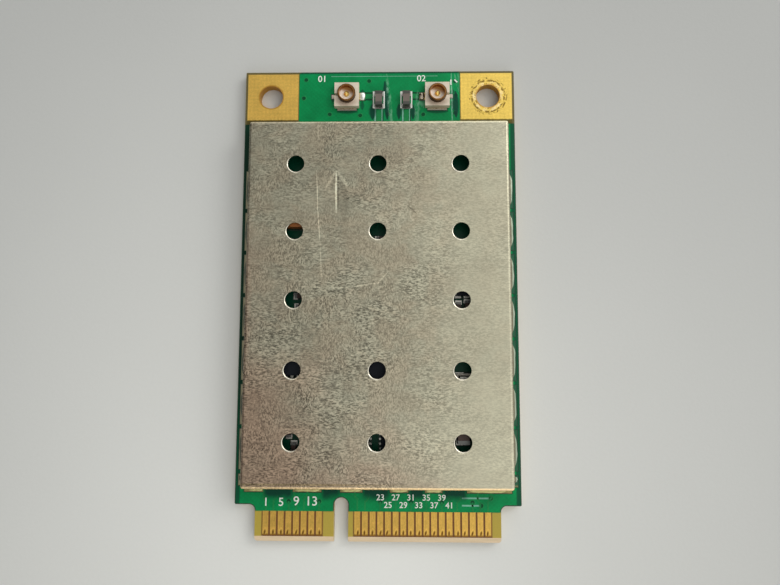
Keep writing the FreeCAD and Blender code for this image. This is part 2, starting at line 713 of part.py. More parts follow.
add_leadless(("processor",), "processor_terminals", PROCESSOR, PROCESSOR_ROW, PROCESSOR_ROW, (PROCESSOR_PLACE,))
add_leadless(("radio_chip",), "radio_chip_terminals", RADIO, RADIO_ROW, RADIO_ROW, (RADIO_PLACE,))
add_leadless(("main_amplifier", "aux_amplifier"), "amplifier_terminals", AMPLIFIER, AMPLIFIER_ROW, AMPLIFIER_ROW,
             (MAIN_AMPLIFIER_PLACE, AUX_AMPLIFIER_PLACE))
add_leadless(("antenna_switch",), "antenna_switch_terminals", SWITCH, SWITCH_ROW, SWITCH_ROW, (SWITCH_PLACE,))
add_leadless(("radio_regulator",), "radio_regulator_terminals", RADIO_REGULATOR, RADIO_REGULATOR_ROW,
             RADIO_REGULATOR_ROW, (RADIO_REGULATOR_PLACE,))
add_leadless(("resistor_arrays",), "resistor_array_terminals", RESISTOR_ARRAY, 0, RESISTOR_ARRAY_ROW, ARRAY_PLACES)
add_leaded("serial_memory", "serial_memory_leads", MEMORY, MEMORY_LEADS, MEMORY_LEADS, MEMORY_PLACE, marked=True)
add_leaded("supply_regulator", "supply_regulator_leads", SUPPLY_REGULATOR, REGULATOR_FRONT_LEADS,
           REGULATOR_BACK_LEADS, SUPPLY_REGULATOR_PLACE)
add_chips("bulk_capacitor", "bulk_capacitor_ends", BULK_CHIP, (BULK_PLACE,), ())
add_chips("supply_capacitor", "supply_capacitor_ends", SUPPLY_CHIP, (), (SUPPLY_PLACE,))
add_chips("band_filters", "band_filter_ends", FILTER_CHIP, (), (MAIN_FILTER_PLACE, AUX_FILTER_PLACE))
add_chips("power_inductor", "power_inductor_ends", INDUCTOR_CHIP, (INDUCTOR_PLACE,), ())
add_chips("bypass_capacitors", "bypass_capacitor_ends", SMALL_CHIP, LEVEL_BYPASS, UPRIGHT_BYPASS)
add_chips("bias_resistors", "bias_resistor_ends", SMALL_CHIP, LEVEL_BIAS, ())
crystal_base, crystal_lid, crystal_areas = crystal(*at_vent(CRYSTAL_PLACE))
nodes["crystal_base"] = [crystal_base]
nodes["crystal_lid"] = [crystal_lid]
component_areas.extend(crystal_areas)
component_openings.append(covering(crystal_areas))
nodes["component_lands"] = lands(component_areas)

antenna_areas = connector_land_areas(MAIN_CONNECTOR_X, 1) + connector_land_areas(AUX_CONNECTOR_X, -1)
for capacitor_name, capacitor_x in (("main", MAIN_CAPACITOR_X), ("aux", AUX_CAPACITOR_X)):
    capacitor, capacitor_caps, capacitor_areas = end_cap_chip(ANTENNA_CHIP, capacitor_x, capacitor_y, True)
    nodes[capacitor_name + "_antenna_capacitor"] = [capacitor]
    nodes[capacitor_name + "_antenna_capacitor_ends"] = capacitor_caps
    antenna_areas += capacitor_areas
add_connector("main", MAIN_CONNECTOR_X, 1)
add_connector("aux", AUX_CONNECTOR_X, -1)
nodes["antenna_lands"] = lands(antenna_areas)

shield_areas = shield_land_areas()
nodes["shield_can"] = [shield_can()]
nodes["shield_lands"] = joined(lands(shield_areas)).Solids
nodes["shield_solder"] = shield_solder()

nodes["laminate_board"] = [laminate_board()]
nodes["top_edge_contacts"] = edge_contacts(laminate_top, BOARD_THICKNESS)
nodes["bottom_edge_contacts"] = edge_contacts(0, COATING)
nodes["left_mounting_land"] = [mounting_land(-1)]
nodes["right_mounting_land"] = [mounting_land(1)]
top_openings = component_openings + antenna_areas + shield_areas
nodes["top_solder_mask"] = [solder_mask(laminate_top, laminate_top + MASK_THICKNESS, top_openings)]
nodes["bottom_solder_mask"] = [solder_mask(COATING - MASK_THICKNESS, COATING, [])]

os.makedirs("parts", exist_ok=True)
for node_name, solids in nodes.items():
    shape = solids[0] if len(solids) == 1 else Part.makeCompound(solids)
    shape.exportStep("parts/" + node_name + ".step")
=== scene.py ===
from functools import reduce
import json
import math

import bpy
from mathutils import Matrix, Vector


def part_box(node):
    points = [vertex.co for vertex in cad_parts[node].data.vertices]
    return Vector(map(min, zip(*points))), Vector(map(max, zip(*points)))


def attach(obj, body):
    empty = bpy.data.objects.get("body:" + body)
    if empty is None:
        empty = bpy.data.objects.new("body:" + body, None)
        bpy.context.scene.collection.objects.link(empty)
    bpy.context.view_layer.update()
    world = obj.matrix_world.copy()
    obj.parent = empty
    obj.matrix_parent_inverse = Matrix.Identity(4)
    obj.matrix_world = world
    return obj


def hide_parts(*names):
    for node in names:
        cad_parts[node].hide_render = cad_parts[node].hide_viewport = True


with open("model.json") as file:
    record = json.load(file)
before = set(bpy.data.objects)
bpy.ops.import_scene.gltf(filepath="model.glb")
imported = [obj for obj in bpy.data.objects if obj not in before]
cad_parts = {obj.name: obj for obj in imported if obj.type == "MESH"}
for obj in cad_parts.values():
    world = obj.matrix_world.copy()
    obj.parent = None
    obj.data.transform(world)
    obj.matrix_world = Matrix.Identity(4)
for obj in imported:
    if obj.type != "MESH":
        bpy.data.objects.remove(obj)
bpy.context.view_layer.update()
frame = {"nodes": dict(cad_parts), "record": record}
scene = bpy.context.scene

# Places on the card in millimetres, read from the frame
MM = 0.001


def box_mm(node):
    low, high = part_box(node)
    return low / MM, high / MM


def middle_x(node):
    low, high = box_mm(node)
    return (low.x + high.x) / 2


board_high = box_mm("laminate_board")[1]
can_low, can_high = box_mm("shield_can")
can_y = (can_low.y + can_high.y) / 2
can_length = can_high.y - can_low.y
contacts_low, contacts_high = box_mm("top_edge_contacts")
shell_low, shell_high = box_mm("main_connector_shell")
land_top = box_mm("right_mounting_land")[1].z
top = box_mm("top_solder_mask")[1].z
under = box_mm("bottom_solder_mask")[0].z
end_y = board_high.y

# A screw hole lies a little outside the middle of its land, level with the connectors
LAND_OFFSET = 0.2
hole_x = middle_x("right_mounting_land") + LAND_OFFSET
hole_y = (shell_low.y + shell_high.y) / 2
main_x = middle_x("main_connector_shell")
aux_x = middle_x("aux_connector_shell")
main_axis = middle_x("main_connector_housing")
aux_axis = middle_x("aux_connector_housing")
BETWEEN_CONNECTORS = (0.9, 1.1)

VENT_PITCH_X = 8.83
VENT_MARGIN = 4.75
VENT_ROWS = 5
vent_pitch_y = (can_length - 2 * VENT_MARGIN) / (VENT_ROWS - 1)

CONTACT_PITCH = 0.8
CONTACT_WIDTH = 0.6
FIRST_GROUP = 8
SECOND_GROUP = 18
first_contact_x = contacts_low.x + CONTACT_WIDTH / 2
second_group_x = contacts_high.x - CONTACT_WIDTH / 2 - (SECOND_GROUP - 1) * CONTACT_PITCH
contact_places = [first_contact_x + i * CONTACT_PITCH for i in range(FIRST_GROUP)]
contact_places += [second_group_x + i * CONTACT_PITCH for i in range(SECOND_GROUP)]

# Notches of the shield's front wall: middle and width
FRONT_NOTCHES = ((-10.44, 3.16), (-4.9, 2.0), (-0.14, 2.94), (4.1, 1.77), (8.06, 2.6))

# Lines of wear on the top face, and painted shadow beside the long scratch: start, stop, width and strength,
# where a negative strength darkens
SHIELD_SCRATCHES_AND_SHADE = (
    ((-4.50, 13.5), (-4.45, 8.9), 0.13, 1.5), ((-4.28, 13.2), (-4.22, 9.0), 0.14, -0.3),
    ((-4.60, 13.4), (-5.5, 11.7), 0.26, 0.36), ((-4.4, 13.4), (-3.3, 11.8), 0.26, 0.4),
    ((-4.6, 13.0), (-4.9, 11.6), 0.2, -0.2), ((-4.2, 12.9), (-3.2, 10.4), 0.5, -0.14),
    ((-4.0, 9.2), (-1.4, 11.4), 1.1, -0.12),
    ((-6.60, 13.5), (-6.4, 9.2), 0.08, 0.8), ((-6.45, 9.7), (-6.1, 5.4), 0.075, 0.75),
    ((-6.1, 5.3), (-5.9, 1.6), 0.06, 0.5),
    ((-8.08, 1.0), (-2.8, 0.82), 0.13, 0.42), ((-3.3, 0.85), (0.3, 1.44), 0.14, 0.5),
    ((0.0, 1.3), (1.1, 2.6), 0.12, 0.42), ((3.17, 9.65), (4.1, 8.78), 0.12, -0.42),
    ((3.39, 8.63), (3.81, 7.91), 0.16, 0.3), ((-4.0, 12.0), (-3.6, 8.0), 0.9, -0.14),
)
MASK_RUBS = (
    ((0.8, 25.2), (1.45, 18.6), 0.34, 0.6), ((4.3, 23.2), (4.16, 19.2), 0.42, 0.42),
    ((4.5, 22.2), (4.9, 21.3), 0.5, 0.6), ((8.04, 25.6), (8.13, 19.2), 0.15, 0.7),
    ((8.4, 25.2), (8.9, 23.0), 0.2, 0.4), ((8.8, 25.4), (9.0, 23.4), 0.2, 0.35),
)

# Lines painted dark on the lacquer, as above: on the card where it has no copper below it, and round a
# connector's axis as painted shadow of its housing
MASK_GROOVES = (
    ((0.62, 24.3), (0.9, 20.0), 0.5, 1.0), ((-0.75, 21.7), (-0.75, 20.0), 0.55, 1.0),
    ((3.75, 21.6), (3.75, 20.0), 0.4, 1.0), ((2.2, 21.7), (2.2, 20.0), 0.4, 1.0),
    ((8.5, 23.1), (8.55, 20.2), 0.5, 1.0),
)
CONNECTOR_SHADOWS = (
    ((1.7, 0.8), (1.7, 0.3), 0.34, 0.75), ((1.7, -0.5), (1.7, -1.5), 0.34, 0.75),
    ((-1.1, -1.75), (1.2, -1.75), 0.28, 0.75), ((-1.6, 0.3), (-1.6, -0.6), 0.3, 0.75),
)

# Mirroring of lacquer and resin, less than a bare plastic has
DULL = 0.14


class Look:
    """Node material whose calls each add nodes and give their output. Lengths are in millimetres."""

    def __init__(self, name, metallic, specular=0.5):
        self.material = bpy.data.materials.new(name)
        self.material.use_nodes = True
        self.tree = self.material.node_tree
        self.surface = self.tree.nodes["Principled BSDF"]
        self.surface.inputs["Metallic"].default_value = metallic
        self.surface.inputs["Specular IOR Level"].default_value = specular
        coordinates = self.node("ShaderNodeTexCoord")
        self.place = self.vector("SCALE", coordinates.outputs["Object"], scale=1 / MM)
        self.flat = self.vector("MULTIPLY", self.place, (1.0, 1.0, 0.0))
        parts = self.node("ShaderNodeSeparateXYZ")
        self.put(parts.inputs[0], self.place)
        self.x, self.y, self.z = parts.outputs

    def node(self, kind):
        return self.tree.nodes.new(kind)

    def put(self, socket, value):
        if isinstance(value, bpy.types.NodeSocket):
            self.tree.links.new(value, socket)
        elif socket.type == "RGBA" and len(value) == 3:
            socket.default_value = (*value, 1.0)
        else:
            socket.default_value = value

    def vector(self, operation, first, second=None, scale=None):
        node = self.node("ShaderNodeVectorMath")
        node.operation = operation
        for name, value in ((0, first), (1, second), ("Scale", scale)):
            if value is not None:
                self.put(node.inputs[name], value)
        return node.outputs["Value" if operation in ("DOT_PRODUCT", "DISTANCE") else "Vector"]

    def math(self, operation, first, second=0.0):
        node = self.node("ShaderNodeMath")
        node.operation = operation
        self.put(node.inputs[0], first)
        self.put(node.inputs[1], second)
        return node.outputs[0]

    def add(self, *values):
        return reduce(lambda total, value: self.math("ADD", total, value), values)

    def times(self, *values):
        return reduce(lambda total, value: self.math("MULTIPLY", total, value), values)

    def sum(self, total, *shares):
        """Total with more values added to it, each given with its weight."""
        for value, weight in shares:
            total = self.math("ADD", total, self.math("MULTIPLY", value, weight))
        return total

    def rest(self, share):
        """What a share leaves of 1."""
        return self.math("SUBTRACT", 1.0, share)

    def apart(self, value, place=0.0):
        """How far a value is from a place."""
        return self.math("ABSOLUTE", self.math("SUBTRACT", value, place))

    def wave(self, value, length):
        return self.math("SINE", self.times(value, 2 * math.pi / length))

    def step(self, value, start, stop, low=0.0, high=1.0):
        """Smooth change from low to high as the value goes from start to stop."""
        node = self.node("ShaderNodeMapRange")
        node.interpolation_type = "SMOOTHSTEP"
        for socket, number in zip(node.inputs[:5], (value, start, stop, low, high)):
            self.put(socket, number)
        return node.outputs[0]

    def across(self, *levels):
        return self.step(self.x, *levels)

    def along(self, *levels):
        return self.step(self.y, *levels)

    def noise(self, size, detail=3.0, rough=0.55, bend=0.0):
        """Noise from 0 to 1 with blots of a size, or of a size (x, y, z)."""
        sizes = size if isinstance(size, tuple) else (size, size, size)
        scaled = self.vector("MULTIPLY", self.place, tuple(1 / length for length in sizes))
        node = self.node("ShaderNodeTexNoise")
        settings = {"Vector": scaled, "Scale": 1.0, "Detail": detail, "Roughness": rough, "Distortion": bend}
        for name, value in settings.items():
            self.put(node.inputs[name], value)
        return node.outputs[0]

    def mix(self, share, first, second):
        node = self.node("ShaderNodeMix")
        node.data_type = "RGBA"
        for number, value in ((0, share), (6, first), (7, second)):
            self.put(node.inputs[number], value)
        return node.outputs[2]

    def cover(self, colour, other, *shares):
        """Colour that goes over to another one as the product of the shares goes to 1."""
        return self.mix(self.times(*shares), colour, other)

    def shade(self, colour, value):
        """Colour made lighter or darker by a value around 1."""
        return self.vector("SCALE", colour, scale=value)

    def segment(self, start, stop, width):
        """1 on the line between two points of the top face, 0 beyond its width. It thins out to both ends."""
        end_width, middle_width, core = 0.25, 3.2, 0.3
        run = (stop[0] - start[0], stop[1] - start[1], 0.0)
        away = self.vector("SUBTRACT", self.flat, (*start, 0.0))
        reached = self.vector("DOT_PRODUCT", away, run)
        share = self.math("DIVIDE", reached, run[0] ** 2 + run[1] ** 2)
        share = self.math("MINIMUM", self.math("MAXIMUM", share, 0.0), 1.0)
        distance = self.vector("DISTANCE", away, self.vector("SCALE", run, scale=share))
        swell = self.times(share, self.rest(share), middle_width)
        edge = self.times(self.add(end_width, swell), width)
        return self.step(distance, edge, self.times(edge, core))

    def lines(self, rows, cover=1.0, origin=(0.0, 0.0)):
        """Lines (start, stop, width, strength) from an origin added up, broken up by a cover from 0 to 1."""
        total = 0.0
        for start, stop, width, strength in rows:
            ends = [(origin[0] + x, origin[1] + y) for x, y in (start, stop)]
            total = self.add(total, self.times(self.segment(*ends, width), cover, strength))
        return total

    def ring(self, x, y):
        """Distance from an upright axis."""
        return self.vector("DISTANCE", self.flat, (x, y, 0.0))

    def from_connector(self):
        """Distance from the axis of the nearest connector."""
        return self.math("MINIMUM", self.ring(main_axis, hole_y), self.ring(aux_axis, hole_y))

    def finish(self, colour, roughness, height, depth):
        """Material with a relief of a height from 0 to 1 and a depth in millimetres."""
        relief = self.node("ShaderNodeBump")
        relief.inputs["Distance"].default_value = depth * MM
        self.put(relief.inputs["Height"], height)
        for name, value in (("Base Color", colour), ("Roughness", roughness), ("Normal", relief.outputs[0])):
            self.put(self.surface.inputs[name], value)
        return self.material

    def speckled(self, colour, sizes, value, roughness, depth, swell=0.4):
        """Material with soft blots and a fine grain. The value is a base and the shares of both."""
        blots = self.noise(sizes[0], 4.0)
        grain = self.noise(sizes[1], 2.0)
        base, blot_share, grain_share = value
        shaded = self.shade(colour, self.sum(base, (blots, blot_share), (grain, grain_share)))
        rough = self.step(blots, 0.3, 0.7, *roughness)
        return self.finish(shaded, rough, self.sum(grain, (blots, swell)), depth)


def mottled(name, colour, metallic, roughness, size, contrast, depth):
    """Look with soft blots, a fine grain and a roughness that follows them."""
    value = (1.0 - contrast, contrast * 1.4, contrast * 0.6)
    rough = (roughness * 0.85, min(1.0, roughness * 1.2))
    return Look(name, metallic).speckled(colour, (size, size / 7), value, rough, depth)


def plated_look(name, colour, roughness):
    """Plated or soldered metal with a faint grain and dull patches."""
    return mottled(name, colour, 1.0, roughness, 0.6, 0.22, 0.006)


def chip_look(name, colour):
    """Fired ceramic with a slight grain."""
    return mottled(name, colour, 0.0, 0.5, 0.4, 0.25, 0.008)


# Looks of the shield

def shield_scuffs(look):
    """Scuffs from -0.5 to 0.5: those along X, those along Y, and the two as they lie on the sheet."""
    dashes = look.step(look.noise((0.29, 0.12, 0.4), 2.0, 0.6, 0.15), 0.34, 0.66, -0.5, 0.5)
    uprights = look.step(look.noise((0.13, 0.22, 0.4), 2.0, 0.6, 0.3), 0.34, 0.66, -0.5, 0.5)
    turned = look.times(look.step(look.noise(3.2, 2.0), 0.44, 0.58), look.across(8.0, 0.0))
    grain = look.add(look.times(dashes, look.rest(turned)), look.times(uprights, turned))
    return dashes, uprights, grain


def shield_depth(look):
    """Strength of the scuffs, largest at the left and the front, with calm patches."""
    calm = look.step(look.noise((4.5, 3.5, 4.0), 2.0), 0.62, 0.4, 0.6, 1.0)
    rougher = look.along(9.0, -3.0, 0.9, look.across(11.0, 5.0, 0.95, 1.3))
    return look.times(calm, rougher, look.across(11.0, 2.0, 0.36, 0.8))


def shield_drift(look):
    """Painted light and shade: darker to the left and the back, lighter at the front."""
    to_left = look.across(9.0, 1.0, 0.0, -0.10)
    left_back = look.times(look.along(9.0, 15.0, 0.0, -0.07), look.across(6.0, 1.0))
    front = look.times(look.along(-7.0, -15.0, 0.0, 0.13), look.across(-7.0, -1.0))
    return look.add(to_left, left_back, front)


def shield_bends(look, value):
    """Value with painted highlights and shade on the bends, lighter at the back and the front, darker at the
    left, the right and the crease; and the place of the front bend and its crease.
    """
    crease_y = can_low.y + 0.5
    upper = look.step(look.z, can_high.z - 0.6, can_high.z - 0.3)
    back = look.times(look.along(can_high.y - 0.36, can_high.y - 0.12), upper)
    right = look.times(look.across(can_high.x - 0.34, can_high.x - 0.1), upper)
    left = look.times(look.across(can_low.x + 0.3, can_low.x + 0.1), upper)
    front = look.times(look.along(can_low.y + 0.36, can_low.y + 0.2), upper)
    crease = look.times(look.step(look.apart(look.y, crease_y), 0.16, 0.04), look.across(6.0, -6.0))
    value = look.sum(value, (back, 0.45), (right, -0.12), (left, -0.25), (front, 0.42), (crease, -0.22))
    return value, look.math("MAXIMUM", front, crease)


def shield_colour(look, stains, bend_highlight_share):
    """Grey tin, yellow with tarnish, browner to the left and the front, and golden at the front bend and its
    crease as a painted reflection.
    """
    left_tin, right_tin, tarnished = (0.472, 0.452, 0.338), (0.478, 0.460, 0.342), (0.465, 0.408, 0.295)
    brown, golden = (0.45, 0.335, 0.24), (0.52, 0.40, 0.235)
    edge = look.times(look.across(can_low.x + 1.2, can_low.x), look.along(11.0, 2.0))
    warm = look.sum(-0.92, (look.x, -0.045), (look.y, -0.035), (stains, 1.2))
    warm = look.math("MAXIMUM", look.step(warm, 0.0, 0.8), look.times(edge, 0.85))
    tarnish = look.step(look.noise((3.4, 3.0, 3.2), 3.0, 0.6, 0.4), 0.36, 0.64)
    tarnish = look.times(tarnish, look.across(10.0, 3.0, 0.25, 0.8), look.along(-16.0, -6.0, 0.5, 1.0))
    tin = look.mix(look.across(-2.0, 11.0), left_tin, right_tin)
    tin = look.mix(tarnish, tin, tarnished)
    # Golden painted reflection on the front bend and its crease
    return look.mix(bend_highlight_share, look.mix(warm, tin, brown), golden)


def shield_look():
    """Tinned sheet with fine scuffs, cloudy stains, painted light and shade across it and on its bends, and
    the scratches of use.
    """
    look = Look("shield_sheet", 1.0)
    dashes, uprights, grain = shield_scuffs(look)
    clouds = look.noise((2.6, 2.2, 2.4), 4.0, 0.6, 0.8)
    stains = look.noise((9.0, 7.0, 8.0), 3.0, 0.55, 0.5)
    value = look.sum(0.70, (grain, shield_depth(look)), (clouds, 0.32), (stains, 0.26))
    value, bend_highlight_share = shield_bends(look, look.add(value, shield_drift(look)))
    # Scratches of use, with painted shadow beside the long one
    scratch_and_shade = look.lines(SHIELD_SCRATCHES_AND_SHADE, look.step(uprights, -0.4, 0.1, 0.6, 1.0))
    colour = look.shade(shield_colour(look, stains, bend_highlight_share), look.add(value, scratch_and_shade))
    rough = look.sum(0.38, (dashes, 0.05), (clouds, 0.1))
    return look.finish(colour, rough, look.sum(0.0, (grain, 0.4), (scratch_and_shade, -0.4)), 0.005)


# Looks of the board

def bare_mask(look, clouds):
    """1 where the lacquer is dark: in the grooves without copper below it, in painted shadow round the
    connectors, and at the front notches, bare lacquer with painted shadow.
    """
    bare_and_shade = look.lines(MASK_GROOVES)
    for axis in (main_axis, aux_axis):
        bare_and_shade = look.add(bare_and_shade, look.lines(CONNECTOR_SHADOWS, origin=(axis, hole_y)))
    ragged = look.sum(look.y, (look.add(clouds, -0.5), 1.4))
    reach = look.step(ragged, can_low.y - 1.7, can_low.y - 0.8)
    reach = look.times(reach, look.along(can_low.y + 2.0, can_low.y + 1.0))
    for place, width in FRONT_NOTCHES:
        notch = look.step(look.apart(look.x, place), width / 2 + 0.2, width / 2 - 0.4)
        bare_and_shade = look.sum(bare_and_shade, (notch, reach))
    return look.math("MINIMUM", bare_and_shade, 1.0)


def under_shield(look):
    """1 under the shield, 0 outside its walls."""
    inward_y = look.math("SUBTRACT", can_length / 2, look.apart(look.y, can_y))
    inward_x = look.math("SUBTRACT", can_high.x, look.apart(look.x))
    return look.step(look.math("MINIMUM", inward_x, inward_y), 0.2, 0.5)


def mask_look(name, colour, edge):
    """Green lacquer with a faint weave, rubbed pale in places, dark without copper, darker at the board's
    edges, with painted shade under the shield, round the connectors, at the front notches and left of the
    shield.
    """
    bare_and_shade, rubbed = (0.001, 0.042, 0.027), (0.24, 0.52, 0.36)
    shaded, left_strip_shade = (0.001, 0.06, 0.036), (0.002, 0.013, 0.007)
    look = Look(name, 0.0, DULL)
    weave = look.times(look.wave(look.x, 0.5), look.wave(look.y, 0.5))
    clouds = look.noise(1.6, 4.0)
    specks = look.noise(0.13, 3.0)
    above = look.step(look.z, 0.5, 0.9)
    tint = look.shade(colour, look.sum(0.45, (clouds, 0.7), (weave, 0.04), (specks, 0.4)))
    tint = look.cover(tint, bare_and_shade, bare_mask(look, clouds), above, 0.92)
    broken = look.step(look.noise((0.25, 0.6, 0.3), 4.0, 0.65), 0.36, 0.66)
    tint = look.cover(tint, rubbed, look.lines(MASK_RUBS, broken), above)
    # Painted shade under the shield
    tint = look.cover(tint, shaded, under_shield(look), above, 0.86)
    side_edge = look.step(look.apart(look.x), board_high.x - 0.65, board_high.x - 0.4)
    outside = look.math("MAXIMUM", side_edge, look.along(end_y - 0.28, end_y - 0.16))
    tint = look.cover(tint, edge, outside, 0.85)
    # Painted shade on the strip left of the shield, which the shield keeps from the light
    left_strip_shade_share = look.times(look.across(can_low.x + 0.1, can_low.x - 0.3), look.along(-17.0, -6.0))
    tint = look.cover(tint, left_strip_shade, left_strip_shade_share, above, 0.8)
    return look.finish(tint, look.sum(0.24, (clouds, 0.16)), look.sum(specks, (weave, 0.5)), 0.004)


def between_contacts(look):
    """1 within the two groups of contacts, across the card."""
    inside = 0.0
    for start, count in ((first_contact_x, FIRST_GROUP), (second_group_x, SECOND_GROUP)):
        middle = start + (count - 1) * CONTACT_PITCH / 2
        reach = count * CONTACT_PITCH / 2
        inside = look.add(inside, look.step(look.apart(look.x, middle), reach + 0.12, reach - 0.08))
    return inside


def laminate_look():
    """Glass-fibre laminate: olive where it is bare, brown between the contacts as copper residue and painted
    shade, pale on its cut edges.
    """
    olive, brown = (0.41, 0.31, 0.036), (0.155, 0.058, 0.006)
    green_rim, land_rim = (0.006, 0.045, 0.02), (0.105, 0.085, 0.018)
    dark_layer, pale_layer = (0.36, 0.27, 0.11), (0.62, 0.50, 0.28)
    dark_bevel, pale_bevel = (0.58, 0.45, 0.27), (0.78, 0.60, 0.40)
    look = Look("laminate", 0.0)
    normal = look.node("ShaderNodeNewGeometry").outputs["Normal"]
    facing = look.apart(look.vector("DOT_PRODUCT", normal, (0.0, 0.0, 1.0)))
    weave = look.sum(0.0, (look.noise((0.5, 0.05, 0.05)), 0.5), (look.noise((0.05, 0.5, 0.05)), 0.5))
    tongue = look.along(contacts_high.y + 0.1, contacts_high.y - 0.1)
    # Brown between the contacts: copper residue and painted shade of the narrow gaps
    bare_and_shade = look.cover(olive, brown, between_contacts(look), tongue)
    by_land = look.times(look.step(look.apart(look.x), 8.7, 8.9), look.along(19.3, 19.5))
    face = look.mix(tongue, look.mix(by_land, green_rim, land_rim), bare_and_shade)
    layers = look.noise((3.0, 3.0, 0.07), 2.0)
    edge = look.mix(layers, dark_layer, pale_layer)
    bevel = look.mix(look.noise((2.4, 0.3, 0.3)), dark_bevel, pale_bevel)
    cut = look.mix(look.step(facing, 0.75, 0.4), bevel, edge)
    colour = look.mix(look.step(facing, 0.95, 0.98), cut, face)
    colour = look.shade(colour, look.sum(0.8, (weave, 0.4)))
    return look.finish(colour, 0.55, look.add(weave, layers), 0.012)


def contact_look():
    """Gold fingers, wiped along their length by sockets and dented where the springs rest, with a painted
    highlight on their left edges.
    """
    gold, worn_heel, dent_floor = (0.70, 0.43, 0.09), (0.22, 0.09, 0.015), (0.15, 0.055, 0.006)
    dent_rise, dent_width, dent_length, pivot_rise = 0.32, 0.12, 0.28, 0.42
    keep_positive = 20 * CONTACT_PITCH
    look = Look("gold_contacts", 0.85)
    wipe = look.noise((0.09, 1.2, 0.5), 4.0)
    blots = look.noise((0.5, 0.7, 0.5), 4.0)
    specks = look.noise((0.16, 0.2, 0.2), 2.0, 0.6)
    offset = look.add(look.x, -first_contact_x + CONTACT_PITCH / 2 + keep_positive)
    local = look.add(look.math("MODULO", offset, CONTACT_PITCH), -CONTACT_PITCH / 2)
    number = look.math("FLOOR", look.math("DIVIDE", offset, CONTACT_PITCH))
    rise = look.add(look.y, -contacts_low.y)
    shift = look.times(look.math("SINE", look.times(number, 2.4)), 0.07)
    lean = look.sum(0.16, (look.math("SINE", look.times(number, 1.1)), 0.12))
    off = look.sum(local, (shift, -1.0), (look.add(rise, -pivot_rise), look.times(lean, -1.0)))
    off = look.times(off, 1 / dent_width)
    high = look.times(look.add(rise, -dent_rise), 1 / dent_length)
    distance = look.math("SQRT", look.add(look.times(off, off), look.times(high, high)))
    dent = look.times(look.step(distance, 1.2, 0.35), look.step(blots, 0.3, 0.55, 0.65, 1.0))
    lip = look.times(look.step(distance, 2.1, 1.4), look.step(distance, 0.9, 1.3))
    heel = look.step(look.sum(rise, (blots, -0.12)), 0.16, 0.02)
    # Painted highlight along the left edge of each finger
    left_edge_highlight = look.step(local, -0.16, -0.27)
    value = look.sum(0.28, (wipe, 0.5), (blots, 0.52), (specks, 0.46), (lip, 0.16), (left_edge_highlight, 0.12))
    colour = look.cover(look.shade(gold, value), worn_heel, heel, 0.8)
    colour = look.cover(colour, dent_floor, dent, 0.95)
    return look.finish(colour, look.sum(0.3, (wipe, 0.2)), look.sum(wipe, (dent, -2.0)), 0.004)


# Rings that a screw head leaves on its land: radius, width and how much of the ring is broken away
SCREW_RINGS = ((1.5, 0.07, 0.5), (1.82, 0.16, 0.43), (2.08, 0.13, 0.5))


def land_look(name, worn):
    """Gold screw land with the print of the weave and painted shade at its hole and along the shield; a worn
    one shows the rings of a screw head.
    """
    gold = (0.80, 0.57, 0.12) if worn else (0.76, 0.49, 0.105)
    burr_and_shade_brown, rub_bright = (0.47, 0.22, 0.025), (1.0, 0.84, 0.50)
    groove_dark, wall_line_shade_dark = (0.17, 0.10, 0.012), (0.045, 0.045, 0.012)
    side = 1 if worn else -1
    look = Look(name, 0.75)
    weave = look.add(look.wave(look.x, 0.45), look.wave(look.y, 0.45))
    blots = look.noise(1.4, 4.0)
    specks = look.noise(0.2)
    colour = look.shade(gold, look.sum(0.58, (weave, 0.018), (blots, 0.36), (specks, 0.48)))
    height = look.sum(specks, (weave, 0.2))
    shake = look.add(look.noise(0.7, 4.0, 0.65), -0.5)
    distance = look.sum(look.ring(side * hole_x, hole_y), (shake, 0.4 if worn else 0.12))
    # Brown ring round the hole, partly a burr and partly painted shade in the hole's barrel
    burr_and_shade = look.step(distance, 1.5, 1.34)
    colour = look.cover(colour, burr_and_shade_brown, burr_and_shade, 0.8)
    if worn:
        patches = look.noise(0.35, 4.0, 0.7)
        rubbed = look.times(look.step(distance, 1.3, 1.42), look.step(distance, 1.85, 1.6))
        rubbed = look.times(rubbed, look.step(look.noise(0.6, 4.0, 0.7), 0.4, 0.62))
        colour = look.cover(colour, rub_bright, rubbed, 0.6)
        for radius, width, reach in SCREW_RINGS:
            groove = look.step(look.apart(distance, radius), width, width * 0.4)
            groove = look.times(groove, look.step(patches, reach, reach + 0.08))
            colour = look.cover(colour, groove_dark, groove, 0.85)
            height = look.sum(height, (groove, -1.5))
    # Dark line along the shield wall, painted shade
    wall_line_shade = look.step(look.sum(look.y, (specks, 0.1)), can_high.y + 1.02, can_high.y + 0.86)
    colour = look.cover(colour, wall_line_shade_dark, wall_line_shade, 0.92)
    return look.finish(colour, look.sum(0.38, (blots, 0.14)), height, 0.006)


# Looks of the solder and the connectors

def front_of_shield(look):
    return look.along(can_low.y + 0.3, can_low.y - 0.1)


def left_of_shield(look):
    return look.across(can_low.x + 0.1, can_low.x - 0.1)


